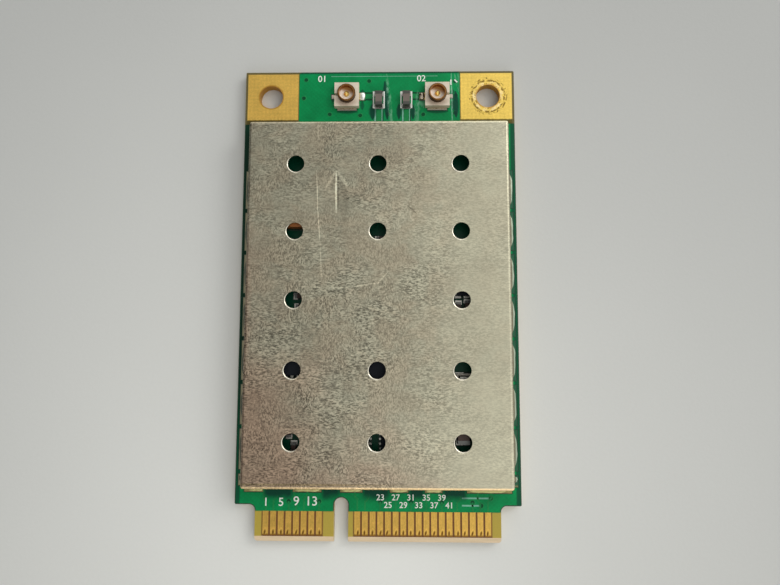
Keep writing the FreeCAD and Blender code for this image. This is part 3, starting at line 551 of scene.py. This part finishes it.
def solder_look():
    """Solder fillet: grey-green at its toe; painted shade makes it brown up the wall, along the foot of the
    right wall and darker at the left, and it is yellower at the front as a painted reflection.
    """
    side_toe, front_toe = (0.32, 0.37, 0.285), (0.42, 0.40, 0.18)
    side_heel, front_heel, right_foot_shade_brown = (0.16, 0.12, 0.08), (0.34, 0.26, 0.10), (0.15, 0.13, 0.08)
    look = Look("shield_fillets", 0.7)
    blots = look.noise(0.5, 4.0)
    grain = look.noise(0.09, 2.0)
    front = front_of_shield(look)
    wall_shade_share = look.step(look.sum(look.z, (blots, 0.1)), 1.06, 1.24)
    colour = look.mix(wall_shade_share, look.mix(front, side_toe, front_toe), look.mix(front, side_heel, front_heel))
    right_foot_shade = look.across(can_high.x + 0.48, can_high.x + 0.39)
    right_foot_shade = look.times(look.across(can_high.x - 0.2, can_high.x), right_foot_shade)
    colour = look.cover(colour, right_foot_shade_brown, right_foot_shade, 0.85)
    value = look.sum(0.6, (blots, 0.55), (grain, 0.25))
    # Painted shade on the fillets at the left wall, away from the light
    value = look.times(value, look.sum(1.0, (left_of_shield(look), -0.55)))
    rough = look.sum(0.34, (blots, 0.2))
    return look.finish(look.shade(colour, value), rough, look.sum(blots, (grain, 0.4)), 0.012)


def shield_land_look():
    """Lands round the shield: dull green, brown with flux at the left, olive at the front."""
    green_land, flux = (0.014, 0.095, 0.046), (0.32, 0.29, 0.18)
    front_toe, front_heel = (0.06, 0.12, 0.05), (0.27, 0.235, 0.085)
    look = Look("shield_lands", 0.4)
    blots = look.noise(0.5, 4.0)
    grain = look.noise(0.08, 2.0)
    inner = look.step(look.sum(look.y, (blots, 0.2)), can_low.y - 0.62, can_low.y - 0.48)
    side = look.mix(left_of_shield(look), green_land, flux)
    colour = look.mix(front_of_shield(look), side, look.mix(inner, front_toe, front_heel))
    colour = look.shade(colour, look.sum(0.65, (blots, 0.5), (grain, 0.2)))
    return look.finish(colour, look.sum(0.32, (blots, 0.2)), look.add(grain, blots), 0.008)


def shell_look():
    """Ground contact of a connector: a brown gilt ring, darker outside as painted shade on its outer wall, on
    tinned feet.
    """
    gilt, outer_gilt_shade = (0.46, 0.22, 0.07), (0.27, 0.13, 0.04)
    brown, tinned = (0.075, 0.038, 0.016), (0.62, 0.54, 0.42)
    look = Look("connector_gilt", 1.0)
    nearest = look.from_connector()
    # Darker gilt and a dark brown band outside the ring: painted shade on its outer wall
    colour = look.mix(look.step(nearest, 0.81, 0.84), gilt, outer_gilt_shade)
    colour = look.mix(look.step(nearest, 0.9, 0.97), colour, brown)
    colour = look.mix(look.step(nearest, 1.04, 1.1), colour, tinned)
    return look.speckled(colour, (0.5, 0.08), (0.76, 0.32, 0.14), (0.24, 0.34), 0.006)


def tail_look():
    """Solder on the connectors' tails: bright on the one, brown with flux on the other."""
    bright, flux, dulled = (0.74, 0.75, 0.69), (0.10, 0.07, 0.045), (0.62, 0.54, 0.42)
    look = Look("tail_solder", 1.0)
    stained = look.mix(look.step(look.noise(0.3, 4.0), 0.42, 0.58), flux, dulled)
    colour = look.mix(look.across(*BETWEEN_CONNECTORS), bright, stained)
    return look.speckled(colour, (0.3, 0.07), (0.78, 0.3, 0.13), (0.25, 0.4), 0.01, 0.5)


def housing_look():
    """Moulded connector housing, whiter inside the ring, painted lit at the front and shaded at the back,
    with a golden middle and the ring's painted shadow in front.
    """
    cream, ring_shadow_brown, golden = (0.69, 0.60, 0.48), (0.34, 0.22, 0.14), (0.74, 0.55, 0.18)
    lit_well, shaded_well = (0.95, 0.88, 0.78), (0.40, 0.19, 0.05)
    look = Look("connector_plastic", 0.0)
    nearest = look.from_connector()
    inside = look.step(nearest, 0.86, 0.78)
    # Painted shadow of the ring on the deck in front
    ring_shadow = look.times(look.step(nearest, 1.75, 1.05), look.along(hole_y - 0.3, hole_y - 1.0))
    aside = look.sum(look.x, (look.across(*BETWEEN_CONNECTORS, main_axis, aux_axis), -1.0))
    slope = look.sum(0.0, (aside, 0.35), (look.add(look.y, -hole_y), 0.9))
    well = look.mix(look.step(slope, -0.05, 0.55), lit_well, shaded_well)
    well = look.cover(well, golden, look.step(nearest, 0.38, 0.27), 0.85)
    colour = look.mix(inside, cream, well)
    colour = look.cover(colour, ring_shadow_brown, ring_shadow, look.rest(inside), 0.6)
    return look.speckled(colour, (0.5, 0.07), (0.8, 0.28, 0.12), (0.42, 0.58), 0.006)


def package_look():
    """Moulded resin, nearly black and darkened further as painted shade under the shield, with a fine matt
    grain.
    """
    look = Look("package_resin", 0.0, DULL)
    grain = look.noise(0.06)
    blots = look.noise(1.5)
    colour = look.shade((0.010, 0.013, 0.019), look.sum(0.6, (grain, 0.5), (blots, 0.5)))
    return look.finish(colour, look.sum(0.42, (grain, 0.2)), grain, 0.006)


shield = shield_look()
green = mask_look("solder_mask", (0.0005, 0.232, 0.067), (0.003, 0.055, 0.03))
pour = mask_look("mask_over_copper", (0.012, 0.225, 0.065), (0.004, 0.10, 0.05))
clearance = mask_look("mask_over_gap", (0.002, 0.07, 0.026), (0.002, 0.05, 0.02))
laminate = laminate_look()
contacts = contact_look()
left_land = land_look("gold_land", False)
right_land = land_look("gold_land_worn", True)
connector_gold = shell_look()
pin_gold = plated_look("pin_gold", (0.90, 0.66, 0.20), 0.25)
tin = plated_look("tin_plating", (0.52, 0.51, 0.46), 0.36)
solder = solder_look()
shaded_land = shield_land_look()
# Metal brighter than the sheet, a painted highlight on the vents' rims
rim_highlight_metal = plated_look("vent_rim_highlight", (0.70, 0.66, 0.54), 0.28)
# Pale lacquer, a painted highlight for the edges of traces and pour
glint = mask_look("mask_glint", (0.19, 0.46, 0.34), (0.1, 0.3, 0.2))
bright_solder = tail_look()
dull_tin = plated_look("capacitor_ends", (0.10, 0.10, 0.09), 0.45)
plastic = housing_look()
# Tin darkened as painted shade, for parts under the shield
shaded_tin = plated_look("shaded_tin", (0.16, 0.16, 0.15), 0.45)
resin = package_look()
brown_ceramic = chip_look("brown_ceramic", (0.44, 0.155, 0.040))
# Brown ceramic darkened as painted shade, for capacitors under the shield
shaded_ceramic = chip_look("shaded_ceramic", (0.075, 0.038, 0.026))
grey_ceramic = chip_look("grey_ceramic", (0.145, 0.115, 0.095))
pale_ceramic = chip_look("pale_ceramic", (0.66, 0.62, 0.54))
ferrite = chip_look("ferrite", (0.06, 0.06, 0.06))
ink = mottled("silk_ink", (0.80, 0.84, 0.78), 0.0, 0.6, 0.2, 0.22, 0.004)

# Nodes with a look of their own, and the looks of the slots of all others
node_looks = {
    "laminate_board": laminate, "top_solder_mask": green, "bottom_solder_mask": green,
    "top_edge_contacts": contacts, "bottom_edge_contacts": contacts,
    "left_mounting_land": left_land, "right_mounting_land": right_land, "shield_can": shield,
    "shield_lands": shaded_land, "supply_capacitor": shaded_ceramic, "bypass_capacitors": shaded_ceramic,
}
# Ends of the parts under the shield take the tin darkened as painted shade
for name in ("bypass_capacitor", "bias_resistor", "band_filter", "supply_capacitor"):
    node_looks[name + "_ends"] = shaded_tin
for side in ("main", "aux"):
    node_looks[side + "_antenna_capacitor"] = grey_ceramic
    node_looks[side + "_antenna_capacitor_ends"] = dull_tin
    node_looks[side + "_connector_pin"] = pin_gold
slot_looks = {
    "gold_plating": connector_gold, "tin_plating": tin, "solder": solder, "connector_plastic": plastic,
    "package_resin": resin, "brown_ceramic": brown_ceramic, "pale_ceramic": pale_ceramic, "ferrite": ferrite,
}
node_slots = {row["node"]: row["material_slot"] for row in frame["record"]["subparts"]}
for name, node in frame["nodes"].items():
    look = node_looks.get(name) or slot_looks[node_slots[name]]
    node.data.materials.clear()
    node.data.materials.append(look)


# Thin shapes on the card
ROUND_STEPS = 28
DOME_LEVELS = 8
DOME_SQUARENESS = 0.6
DOME_TIP = 0.02


def link_piece(name, mesh):
    """Object of a mesh that rides on the card."""
    made = bpy.data.objects.new(name, mesh)
    scene.collection.objects.link(made)
    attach(made, "root")
    return made


class Pattern:
    """Flat and turned shapes gathered in one mesh, in millimetres."""

    def __init__(self):
        self.points = []
        self.faces = []

    def loft(self, rings, closed=True, capped=True):
        """Faces between rings of as many points each, with a cap on the last ring."""
        first = len(self.points)
        size = len(rings[0])
        for ring in rings:
            self.points += ring
        last = size if closed else size - 1
        for level in range(len(rings) - 1):
            low = first + level * size
            for i in range(last):
                j = (i + 1) % size
                self.faces.append((low + i, low + j, low + size + j, low + size + i))
        if capped:
            self.faces.append(tuple(first + size * (len(rings) - 1) + i for i in range(size)))

    def prism(self, outline, low, high):
        """Upright prism, open at its low end."""
        self.loft([[(x, y, z) for x, y in outline] for z in (low, high)])

    def strip(self, points, width, low, high):
        """Band of a width along points, with mitred corners. It looks down where high is below low."""
        half = width / 2
        left, right = [], []
        for i, (x, y) in enumerate(points):
            steps = []
            if i:
                steps.append((x - points[i - 1][0], y - points[i - 1][1]))
            if i + 1 < len(points):
                steps.append((points[i + 1][0] - x, points[i + 1][1] - y))
            units = [(dx / math.hypot(dx, dy), dy / math.hypot(dx, dy)) for dx, dy in steps]
            nx = -sum(dy for dx, dy in units)
            ny = sum(dx for dx, dy in units)
            size = math.hypot(nx, ny)
            nx, ny = nx / size, ny / size
            lean = -units[0][1] * nx + units[0][0] * ny
            left.append((x + nx * half / lean, y + ny * half / lean))
            right.append((x - nx * half / lean, y - ny * half / lean))
        for i in range(len(points) - 1):
            quad = [right[i], right[i + 1], left[i + 1], left[i]]
            if high < low:
                quad.reverse()
            self.prism(quad, low, high)

    def frame(self, x0, x1, y0, y1, width, low, high):
        """Rectangle drawn as a line."""
        for left, right, front, back in (
            (x0, x1, y0, y0 + width), (x0, x1, y1 - width, y1),
            (x0, x0 + width, y0 + width, y1 - width), (x1 - width, x1, y0 + width, y1 - width),
        ):
            self.prism([(left, front), (right, front), (right, back), (left, back)], low, high)

    def turned(self, x, y, profile):
        """Round shape from (radius, z) points, from its rim to its middle."""
        rings = []
        way = 1 if profile[-1][1] >= profile[0][1] else -1
        angles = [way * 2 * math.pi * i / ROUND_STEPS for i in range(ROUND_STEPS)]
        for radius, z in profile:
            rings.append([(x + radius * math.cos(a), y + radius * math.sin(a), z) for a in angles])
        self.loft(rings)

    def dome(self, x, y, half_x, half_y, low, height):
        """Rounded blob on a nearly square foot."""
        rings = []
        for level in range(DOME_LEVELS):
            rise = level / (DOME_LEVELS - 1) * math.pi / 2
            narrow = max(DOME_TIP, math.cos(rise))
            ring = []
            for i in range(ROUND_STEPS):
                angle = 2 * math.pi * i / ROUND_STEPS
                c, s = math.cos(angle), math.sin(angle)
                px = half_x * math.copysign(abs(c) ** DOME_SQUARENESS, c) * narrow
                py = half_y * math.copysign(abs(s) ** DOME_SQUARENESS, s) * narrow
                ring.append((x + px, y + py, low + height * math.sin(rise)))
            rings.append(ring)
        self.loft(rings)

    def piece(self, name, look, smooth=False):
        mesh = bpy.data.meshes.new(name)
        mesh.from_pydata([(x * MM, y * MM, z * MM) for x, y, z in self.points], [], self.faces)
        mesh.validate()
        for polygon in mesh.polygons:
            polygon.use_smooth = smooth
        mesh.materials.append(look)
        return link_piece(name, mesh)


def islands(node):
    """Boxes (low, high) in millimetres of the separate shapes of a node's mesh."""
    mesh = frame["nodes"][node].data
    keys = [tuple(round(c / MM, 3) for c in vertex.co) for vertex in mesh.vertices]
    group = {key: {key} for key in keys}
    for polygon in mesh.polygons:
        joined = set().union(*(group[keys[i]] for i in polygon.vertices))
        for key in joined:
            group[key] = joined
    shapes = {id(points): list(zip(*points)) for points in group.values()}.values()
    boxes = [(Vector([min(axis) for axis in axes]), Vector([max(axis) for axis in axes])) for axes in shapes]
    return sorted(boxes, key=lambda box: (round(box[0].x, 3), round(box[0].y, 3)))


# Solder along the shield: a concave fillet that runs out round at both ends
FILLET_STEPS = 26
FILLET_ROWS = 9
BLUNT_END = 9
ROUND_END = 3.6
SPREAD_WAVER = 0.06
RISE_WAVER = 0.15
HOLLOW_SHARE = 0.85
CORNER_ROUND = 0.35
WALL_TOLERANCE = 0.1


def wobble(seed, t):
    """Slow waver from -1 to 1 that is the same on each run."""
    return math.sin(3.1 * t + 1.7 * seed) * 0.6 + math.sin(7.3 * t + 2.9 * seed) * 0.4


def fillet(pattern, start, stop, seat, wall, reach, height, seed):
    """Solder between a wall and its land, from start to stop along the wall."""
    along_x, wall_place, outward = wall
    rings = []
    for i in range(FILLET_STEPS + 1):
        t = i / FILLET_STEPS
        end = abs(2 * t - 1)
        swell = (1 - end ** (BLUNT_END if along_x else ROUND_END)) ** 0.8
        spread = reach * swell * (1 + SPREAD_WAVER * wobble(seed, 3 * t))
        rise = height * (1 - end ** 4) ** 0.7 * (1 + RISE_WAVER * wobble(seed + 5, 4 * t))
        place = start + (stop - start) * t
        ring = []
        for j in range(FILLET_ROWS):
            s = j / (FILLET_ROWS - 1)
            out = wall_place + outward * spread * s
            hollow = (1 - s) ** 2.0
            full = math.sqrt(max(0.0, 1 - s * s))
            z = seat + rise * (HOLLOW_SHARE * hollow + (1 - HOLLOW_SHARE) * full)
            ring.append((place, out, z) if along_x else (out, place, z))
        rings.append(ring)
    if (outward > 0) == along_x:
        rings.reverse()
    pattern.loft(rings, closed=False, capped=False)


# Walls of the shield: whether they run along X, where they are and which way is out
SHIELD_WALLS = (
    (False, can_high.x, 1), (False, can_low.x, -1), (True, can_high.y, 1), (True, can_low.y, -1),
)
beads = Pattern()
for seed, (low, high) in enumerate(islands("shield_solder")):
    for wall in SHIELD_WALLS:
        along_x, place, outward = wall
        out, run = (1, 0) if along_x else (0, 1)
        reach = outward * ((high if outward > 0 else low)[out] - place)
        if reach > WALL_TOLERANCE:
            start = max(low[run], can_low[run] + CORNER_ROUND)
            stop = min(high[run], can_high[run] - CORNER_ROUND)
            fillet(beads, start, stop, low.z, wall, reach, high.z - low.z, seed)
bead_piece = beads.piece("solder_fillets", solder, smooth=True)
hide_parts("shield_solder")

# Punched rims of the vents, each with a burr on the side where the punch dragged
VENT_RADIUS = 0.9
RIM_CLEARANCE = 0.006
BURR_SIDE = math.radians(218)
BURR_WIDTH = 0.17
BURR_HEIGHT = 0.036
BURR_FADE = 0.8
RIM_STEPS = 48
rim_radius = VENT_RADIUS + RIM_CLEARANCE
rim_angles = [2 * math.pi * i / RIM_STEPS for i in range(RIM_STEPS)]

# Shares of the burr's width and height, and then radii and heights on the wall of the vent
BURR_PROFILE = ((1.0, -0.05), (0.8, 0.75), (0.66, 1.0), (0.5, 0.9), (0.0, 0.05))
WALL_PROFILE = ((0.899, -0.02), (0.898, -0.06), (0.897, -0.17))


def vent_ring(x, y, radius, z, spread=0.0, rise=0.0):
    """Ring round a vent, spread and raised on one side by shares of the burr's width and height."""
    ring = []
    for angle in rim_angles:
        drag = max(0.0, math.cos(angle - BURR_SIDE)) ** BURR_FADE
        reach = radius + BURR_WIDTH * spread * drag
        ring.append((x + reach * math.cos(angle), y + reach * math.sin(angle), z + BURR_HEIGHT * rise * drag))
    return ring


rims = Pattern()
for column in (-1, 0, 1):
    for row in range(-(VENT_ROWS // 2), VENT_ROWS // 2 + 1):
        if (column, row) != (0, 0):
            x = column * VENT_PITCH_X
            y = can_y + row * vent_pitch_y
            rings = [vent_ring(x, y, rim_radius, can_high.z, *shares) for shares in BURR_PROFILE]
            rings += [vent_ring(x, y, radius, can_high.z + rise) for radius, rise in WALL_PROFILE]
            rims.loft(rings, capped=False)
# The rims in the brighter metal, a painted highlight
rims.piece("vent_rims", rim_highlight_metal, smooth=True)

# Solder on the connectors' tails
TAIL_INSET = 0.2
TAIL_HALF_LENGTH = 0.36
TAIL_HEIGHT = 0.3
blobs = Pattern()
for side, way, half_width in (("main", 1, 0.5), ("aux", -1, 0.42)):
    low, high = box_mm(side + "_connector_pin")
    tip = high.x if way > 0 else low.x
    tail_y = (low.y + high.y) / 2
    blobs.dome(tip - way * TAIL_INSET, tail_y, TAIL_HALF_LENGTH, half_width, land_top, TAIL_HEIGHT)
blobs.piece("tail_solder", bright_solder, smooth=True)

# Heights of what lies on the mask, from the gaps in the copper up to the print
COPPER = 0.012
INK = 0.02
gap_top = top + COPPER * 0.4
glint_top = top + COPPER * 0.8
trace_top = top + COPPER
ink_top = top + INK

# Antenna traces, from each connector to its capacitor and from there under the shield, with painted
# highlights along both edges of the line to the shield
TRACE_WIDTH = 0.55
GAP_WIDTH = 0.95
SIDE_GAP_WIDTH = 1.05
SHELL_REACH = 2.05
CAPACITOR_REACH = 0.55
CAPACITOR_SPACE = 0.35
GLINT_SPACE = 0.2
UNDER_EDGE = 0.3
FEED_SHIFT = 0.05
TRACE_GLINTS = ((-TRACE_WIDTH / 2 - 0.12, 0.17), (TRACE_WIDTH / 2 + 0.08, 0.09))
gaps = Pattern()
traces = Pattern()
glints = Pattern()
trace_y = hole_y + FEED_SHIFT
back_edge = can_high.y - UNDER_EDGE
front_edge = can_low.y + UNDER_EDGE
for side, connector_x, outward in (("main", main_x, 1), ("aux", aux_x, -1)):
    low, high = box_mm(side + "_antenna_capacitor_ends")
    middle = (low.x + high.x) / 2
    feed = [(connector_x + outward * SHELL_REACH, trace_y), (middle - outward * CAPACITOR_REACH, trace_y)]
    line = [(middle, low.y - CAPACITOR_SPACE), (middle, back_edge)]
    gaps.strip(feed, GAP_WIDTH, top, gap_top)
    traces.strip(feed, TRACE_WIDTH, top, trace_top)
    gaps.strip(line, SIDE_GAP_WIDTH, top, gap_top)
    for offset, width in TRACE_GLINTS:
        x = middle + offset
        glints.strip([(x, low.y - GLINT_SPACE), (x, back_edge)], width, top, glint_top)
    traces.strip(line, TRACE_WIDTH, top, trace_top)

# Painted highlights along the edges of the ground pour behind and beside the antenna parts
POUR_EDGE_WIDTH = 0.05
for points in ([(-5.4, 24.95), (6.5, 24.95)], [(8.03, 24.9), (8.1, 20.3)]):
    glints.strip(points, POUR_EDGE_WIDTH, top, glint_top)

# Short traces from the contacts to the shield: of each four, two bend and run on and one ends in a via
VIA_TRACE_WIDTH = 0.2
BENT_TRACE_WIDTH = 0.18
VIA_TRACE_LENGTH = 0.95
TRACE_SHIFTS = (-0.25, 0.35)
BEND_RISE = 0.9
BEND_STEP = 0.15
CONTACT_SPACE = 0.05
trace_start = contacts_high.y + CONTACT_SPACE
vias = []


def bent_line(x, bend_y, shift, stop_y):
    """Line from a contact, moved aside by a shift at a bend of 45 degrees."""
    return [(x, trace_start), (x, bend_y), (x + shift, bend_y + abs(shift)), (x + shift, stop_y)]


for number, x in enumerate(contact_places):
    if number % 4 == 3:
        via_y = trace_start + VIA_TRACE_LENGTH
        vias.append((x, via_y))
        traces.strip([(x, trace_start), (x, via_y)], VIA_TRACE_WIDTH, top, trace_top)
    elif number % 4 != 2:
        bend_y = trace_start + BEND_RISE + BEND_STEP * (number % 3)
        points = bent_line(x, bend_y, TRACE_SHIFTS[number % 2], front_edge)
        traces.strip(points, BENT_TRACE_WIDTH, top, trace_top)

# Loop of two lines that ends in vias, at the right of the front strip, drawn pale as painted highlight, and
# vias at the antenna end
LOOP_START = 8.8
LOOP_WIDTH = 0.16
LOOP_VIA = 0.2
for y, reach in ((-20.95, 11.6), (-21.7, 10.6)):
    glints.strip([(LOOP_START, y), (reach, y)], LOOP_WIDTH, top, trace_top)
    vias.append((reach + LOOP_VIA, y))
vias += [
    (-8.22, 24.57), (-1.15, 24.4), (-8.45, 22.44), (-5.53, 20.55), (-2.13, 20.42),
    (8.52, 22.7), (8.42, 20.63), (8.45, 24.3), (0.95, 20.55), (4.9, 20.5),
]
gaps.piece("copper_gaps", clearance)
traces.piece("copper_traces", pour)
glints.piece("trace_edge_glints", glint)

# Vias under the lacquer: a low ring round a sunken middle, as (radius, share of the copper's height)
VIA_RADIUS = 0.29
VIA_HOLE = 0.21
VIA_RIM = ((VIA_RADIUS, 0.0), (VIA_RADIUS - 0.03, 1.0), (VIA_HOLE + 0.02, 1.0), (VIA_HOLE, 0.5))
VIA_PLUG = ((VIA_HOLE, 0.7), (VIA_HOLE * 0.5, 0.6))


def add_vias(places, level, way, name):
    """Vias on the face at a level, which looks up (way 1) or down (way -1)."""
    via_rims = Pattern()
    plugs = Pattern()
    for x, y in places:
        via_rims.turned(x, y, [(radius, level + way * COPPER * share) for radius, share in VIA_RIM])
        plugs.turned(x, y, [(radius, level + way * COPPER * share) for radius, share in VIA_PLUG])
    via_rims.piece(name + "_rims", pour)
    plugs.piece(name + "_plugs", clearance)


add_vias(vias, top, 1, "vias")

# Silk print: frames round the capacitors, a corner mark and plain numbers
FRAME_WIDTH = 0.13
FRAME_SIDE = 0.26
FRAME_FRONT = 0.14
FRAME_BACK = 0.2
MARK_WIDTH = 0.14
silk = Pattern()
for side in ("main", "aux"):
    low, high = box_mm(side + "_antenna_capacitor_ends")
    reach_x = (low.x - FRAME_SIDE, high.x + FRAME_SIDE)
    silk.frame(*reach_x, low.y - FRAME_FRONT, high.y + FRAME_BACK, FRAME_WIDTH, top, ink_top)
for points in ([(8.0, 24.5), (8.0, 23.9)], [(8.4, 24.5), (8.7, 24.2)]):
    silk.strip(points, MARK_WIDTH, top, ink_top)
silk.piece("silk_lines", ink)

FONT_PER_HEIGHT = 1.4
INK_SPREAD = 0.008
SECOND_GROUP_NUMBER = 17

# Numbers on the card: text, middle and height
numbers = [
    ("01", -6.4, 24.65, 0.72), ("02", 4.7, 24.65, 0.72),
    ("1", contact_places[0], -21.5, 0.85), ("5", contact_places[2], -21.5, 0.85),
    ("9", contact_places[4], -21.4, 0.95), ("13", contact_places[6], -21.4, 0.95),
]
for number in range(23, 43, 2):
    contact = FIRST_GROUP + (number - SECOND_GROUP_NUMBER) // 2
    numbers.append((str(number), contact_places[contact], -20.95 if number % 4 == 3 else -21.72, 0.62))


def numeral(text, x, y, height):
    """Plain number of a height, printed on the top face with its middle at a place."""
    curve = bpy.data.curves.new("number_" + text, "FONT")
    curve.body = text
    curve.align_x = "CENTER"
    curve.align_y = "CENTER"
    curve.size = height * FONT_PER_HEIGHT * MM
    curve.extrude = INK / 2 * MM
    curve.offset = INK_SPREAD * MM
    curve.resolution_u = 4
    made = bpy.data.objects.new("number_" + text, curve)
    scene.collection.objects.link(made)
    bpy.context.view_layer.update()
    mesh = bpy.data.meshes.new_from_object(made.evaluated_get(bpy.context.evaluated_depsgraph_get()))
    bpy.data.objects.remove(made)
    mesh.transform(Matrix.Translation((x * MM, y * MM, (top + INK / 2) * MM)))
    mesh.materials.clear()
    mesh.materials.append(ink)
    link_piece("silk_number_" + text, mesh)


for number in numbers:
    numeral(*number)

# Underside: traces from the contacts to vias, and a loose grid of vias
LOWER_WIDTH = 0.2
LOWER_SHIFT = 0.2
LOWER_RISE = 1.2
LOWER_STEP = 0.9
LOWER_RUN = 1.6
GRID_ROWS = 9
GRID_COLUMNS = 6
GRID_LEFT, GRID_FRONT, GRID_BACK = -12.2, -13.5, 18.4
GRID_PITCH_X, GRID_PITCH_Y = 4.9, 4.1
GRID_WAVER_X, GRID_WAVER_Y = 1.1, 0.9
lower_traces = Pattern()
lower_vias = []
for number, x in enumerate(contact_places):
    bend_y = trace_start + LOWER_RISE + LOWER_STEP * ((number * 7) % 5)
    shift = LOWER_SHIFT if (number // 3) % 2 else -LOWER_SHIFT
    points = bent_line(x, bend_y, shift, bend_y + LOWER_RUN)
    lower_traces.strip(points, LOWER_WIDTH, under, under - COPPER)
    lower_vias.append(points[-1])
for row in range(GRID_ROWS):
    for column in range(GRID_COLUMNS):
        x = GRID_LEFT + GRID_PITCH_X * column + GRID_WAVER_X * math.sin(2.3 * row + 1.1 * column)
        y = GRID_FRONT + GRID_PITCH_Y * row + GRID_WAVER_Y * math.sin(1.7 * column + 0.8 * row)
        if y < GRID_BACK:
            lower_vias.append((x, y))
lower_traces.piece("underside_traces", pour)
add_vias(lower_vias, under, -1, "underside_vias")

# Floor: pale paper with painted light, brighter near the card's front, darker away from it and to its right.
# Its size is in metres
FLOOR_REACH = 0.9
FLOOR_DROP = 0.00001
FLOOR_FRONT = -28.0
FLOOR_SIGNS = ((-1, -1), (1, -1), (1, 1), (-1, 1))


def floor_look():
    lit_paper, shaded_paper = (0.755, 0.766, 0.735), (0.447, 0.457, 0.445)
    look = Look("pale_table", 0.0)
    grain = look.noise(0.35)
    patches = look.noise(30.0, 2.0)
    # Painted light: brighter near the card's front, darker away from it and to the right
    light_falloff = look.step(look.ring(0.0, FLOOR_FRONT), -10.0, 85.0)
    paper = look.shade(look.mix(light_falloff, lit_paper, shaded_paper), look.across(0.0, 22.0, 1.0, 0.90))
    paper = look.shade(paper, look.sum(0.95, (grain, 0.04), (patches, 0.06)))
    return look.finish(paper, 0.7, grain, 0.01)


floor_mesh = bpy.data.meshes.new("floor")
floor_corners = [(x * FLOOR_REACH, y * FLOOR_REACH, -FLOOR_DROP) for x, y in FLOOR_SIGNS]
floor_mesh.from_pydata(floor_corners, [], [(0, 1, 2, 3)])
floor_mesh.materials.append(floor_look())
floor = bpy.data.objects.new("floor", floor_mesh)
scene.collection.objects.link(floor)

# Sky that is brighter to the right: place from -1 at the left to 1 at the right, and brightness
SKY = ((-1.0, 0.19), (-0.3, 0.38), (-0.05, 0.51), (0.04, 0.71), (0.16, 1.04), (0.5, 1.22), (1.0, 1.22))
SKY_TINT = (1.0, 0.995, 0.98)
world = bpy.data.worlds.new("studio")
scene.world = world
world.use_nodes = True
nodes = world.node_tree.nodes
links = world.node_tree.links
parts = nodes.new("ShaderNodeSeparateXYZ")
links.new(nodes.new("ShaderNodeTexCoord").outputs["Generated"], parts.inputs[0])
share = nodes.new("ShaderNodeMapRange")
share.inputs["From Min"].default_value = -1.0
links.new(parts.outputs["X"], share.inputs[0])
sweep = nodes.new("ShaderNodeValToRGB")
stops = sweep.color_ramp.elements
while len(stops) < len(SKY):
    stops.new(0.5)
for stop, (side, brightness) in zip(stops, SKY):
    stop.position = (side + 1) / 2
    stop.color = (*(brightness * tint for tint in SKY_TINT), 1.0)
links.new(share.outputs[0], sweep.inputs[0])
links.new(sweep.outputs[0], nodes["Background"].inputs["Color"])

# Lamps that look at the card: place and size in metres, power and colour
LAMPS = (
    ("key", (0.20, 0.14, 0.16), 0.12, 0.20, (1.0, 0.98, 0.95)),
    ("back", (0.02, 0.30, 0.15), 0.2, 0.12, (1.0, 0.99, 0.97)),
    ("front", (0.0, -0.30, 0.15), 0.2, 0.12, (1.0, 0.96, 0.88)),
)
card_middle = Vector((0.0, 0.0, 0.0))
for name, place, size, power, colour in LAMPS:
    lamp = bpy.data.lights.new(name, "AREA")
    lamp.shape = "DISK"
    lamp.size = size
    lamp.energy = power
    lamp.color = colour
    made = bpy.data.objects.new(name, lamp)
    made.location = place
    made.rotation_euler = (card_middle - Vector(place)).to_track_quat("-Z", "Y").to_euler()
    scene.collection.objects.link(made)

# Camera at the photograph's place, in metres, with its focal length in the photograph's pixels
SENSOR_WIDTH = 36.0
FOCAL_PIXELS = 590.0
PHOTO_PIXELS = 780.0
CLIP_START = 0.001
eye = Vector((0.00255999, -0.00571791, 0.06439923))
right = Vector((0.99978965, 0.00260393, -0.02034409))
up = Vector((-0.00057930, 0.99509744, 0.09889763))
camera_data = bpy.data.cameras.new("camera")
camera_data.sensor_width = SENSOR_WIDTH
camera_data.lens = FOCAL_PIXELS / PHOTO_PIXELS * SENSOR_WIDTH
camera_data.clip_start = CLIP_START
camera = bpy.data.objects.new("camera", camera_data)
turn = Matrix((right, up, right.cross(up))).transposed().to_4x4()
camera.matrix_world = Matrix.Translation(eye) @ turn
scene.collection.objects.link(camera)
scene.camera = camera
scene.view_settings.view_transform = "Standard"
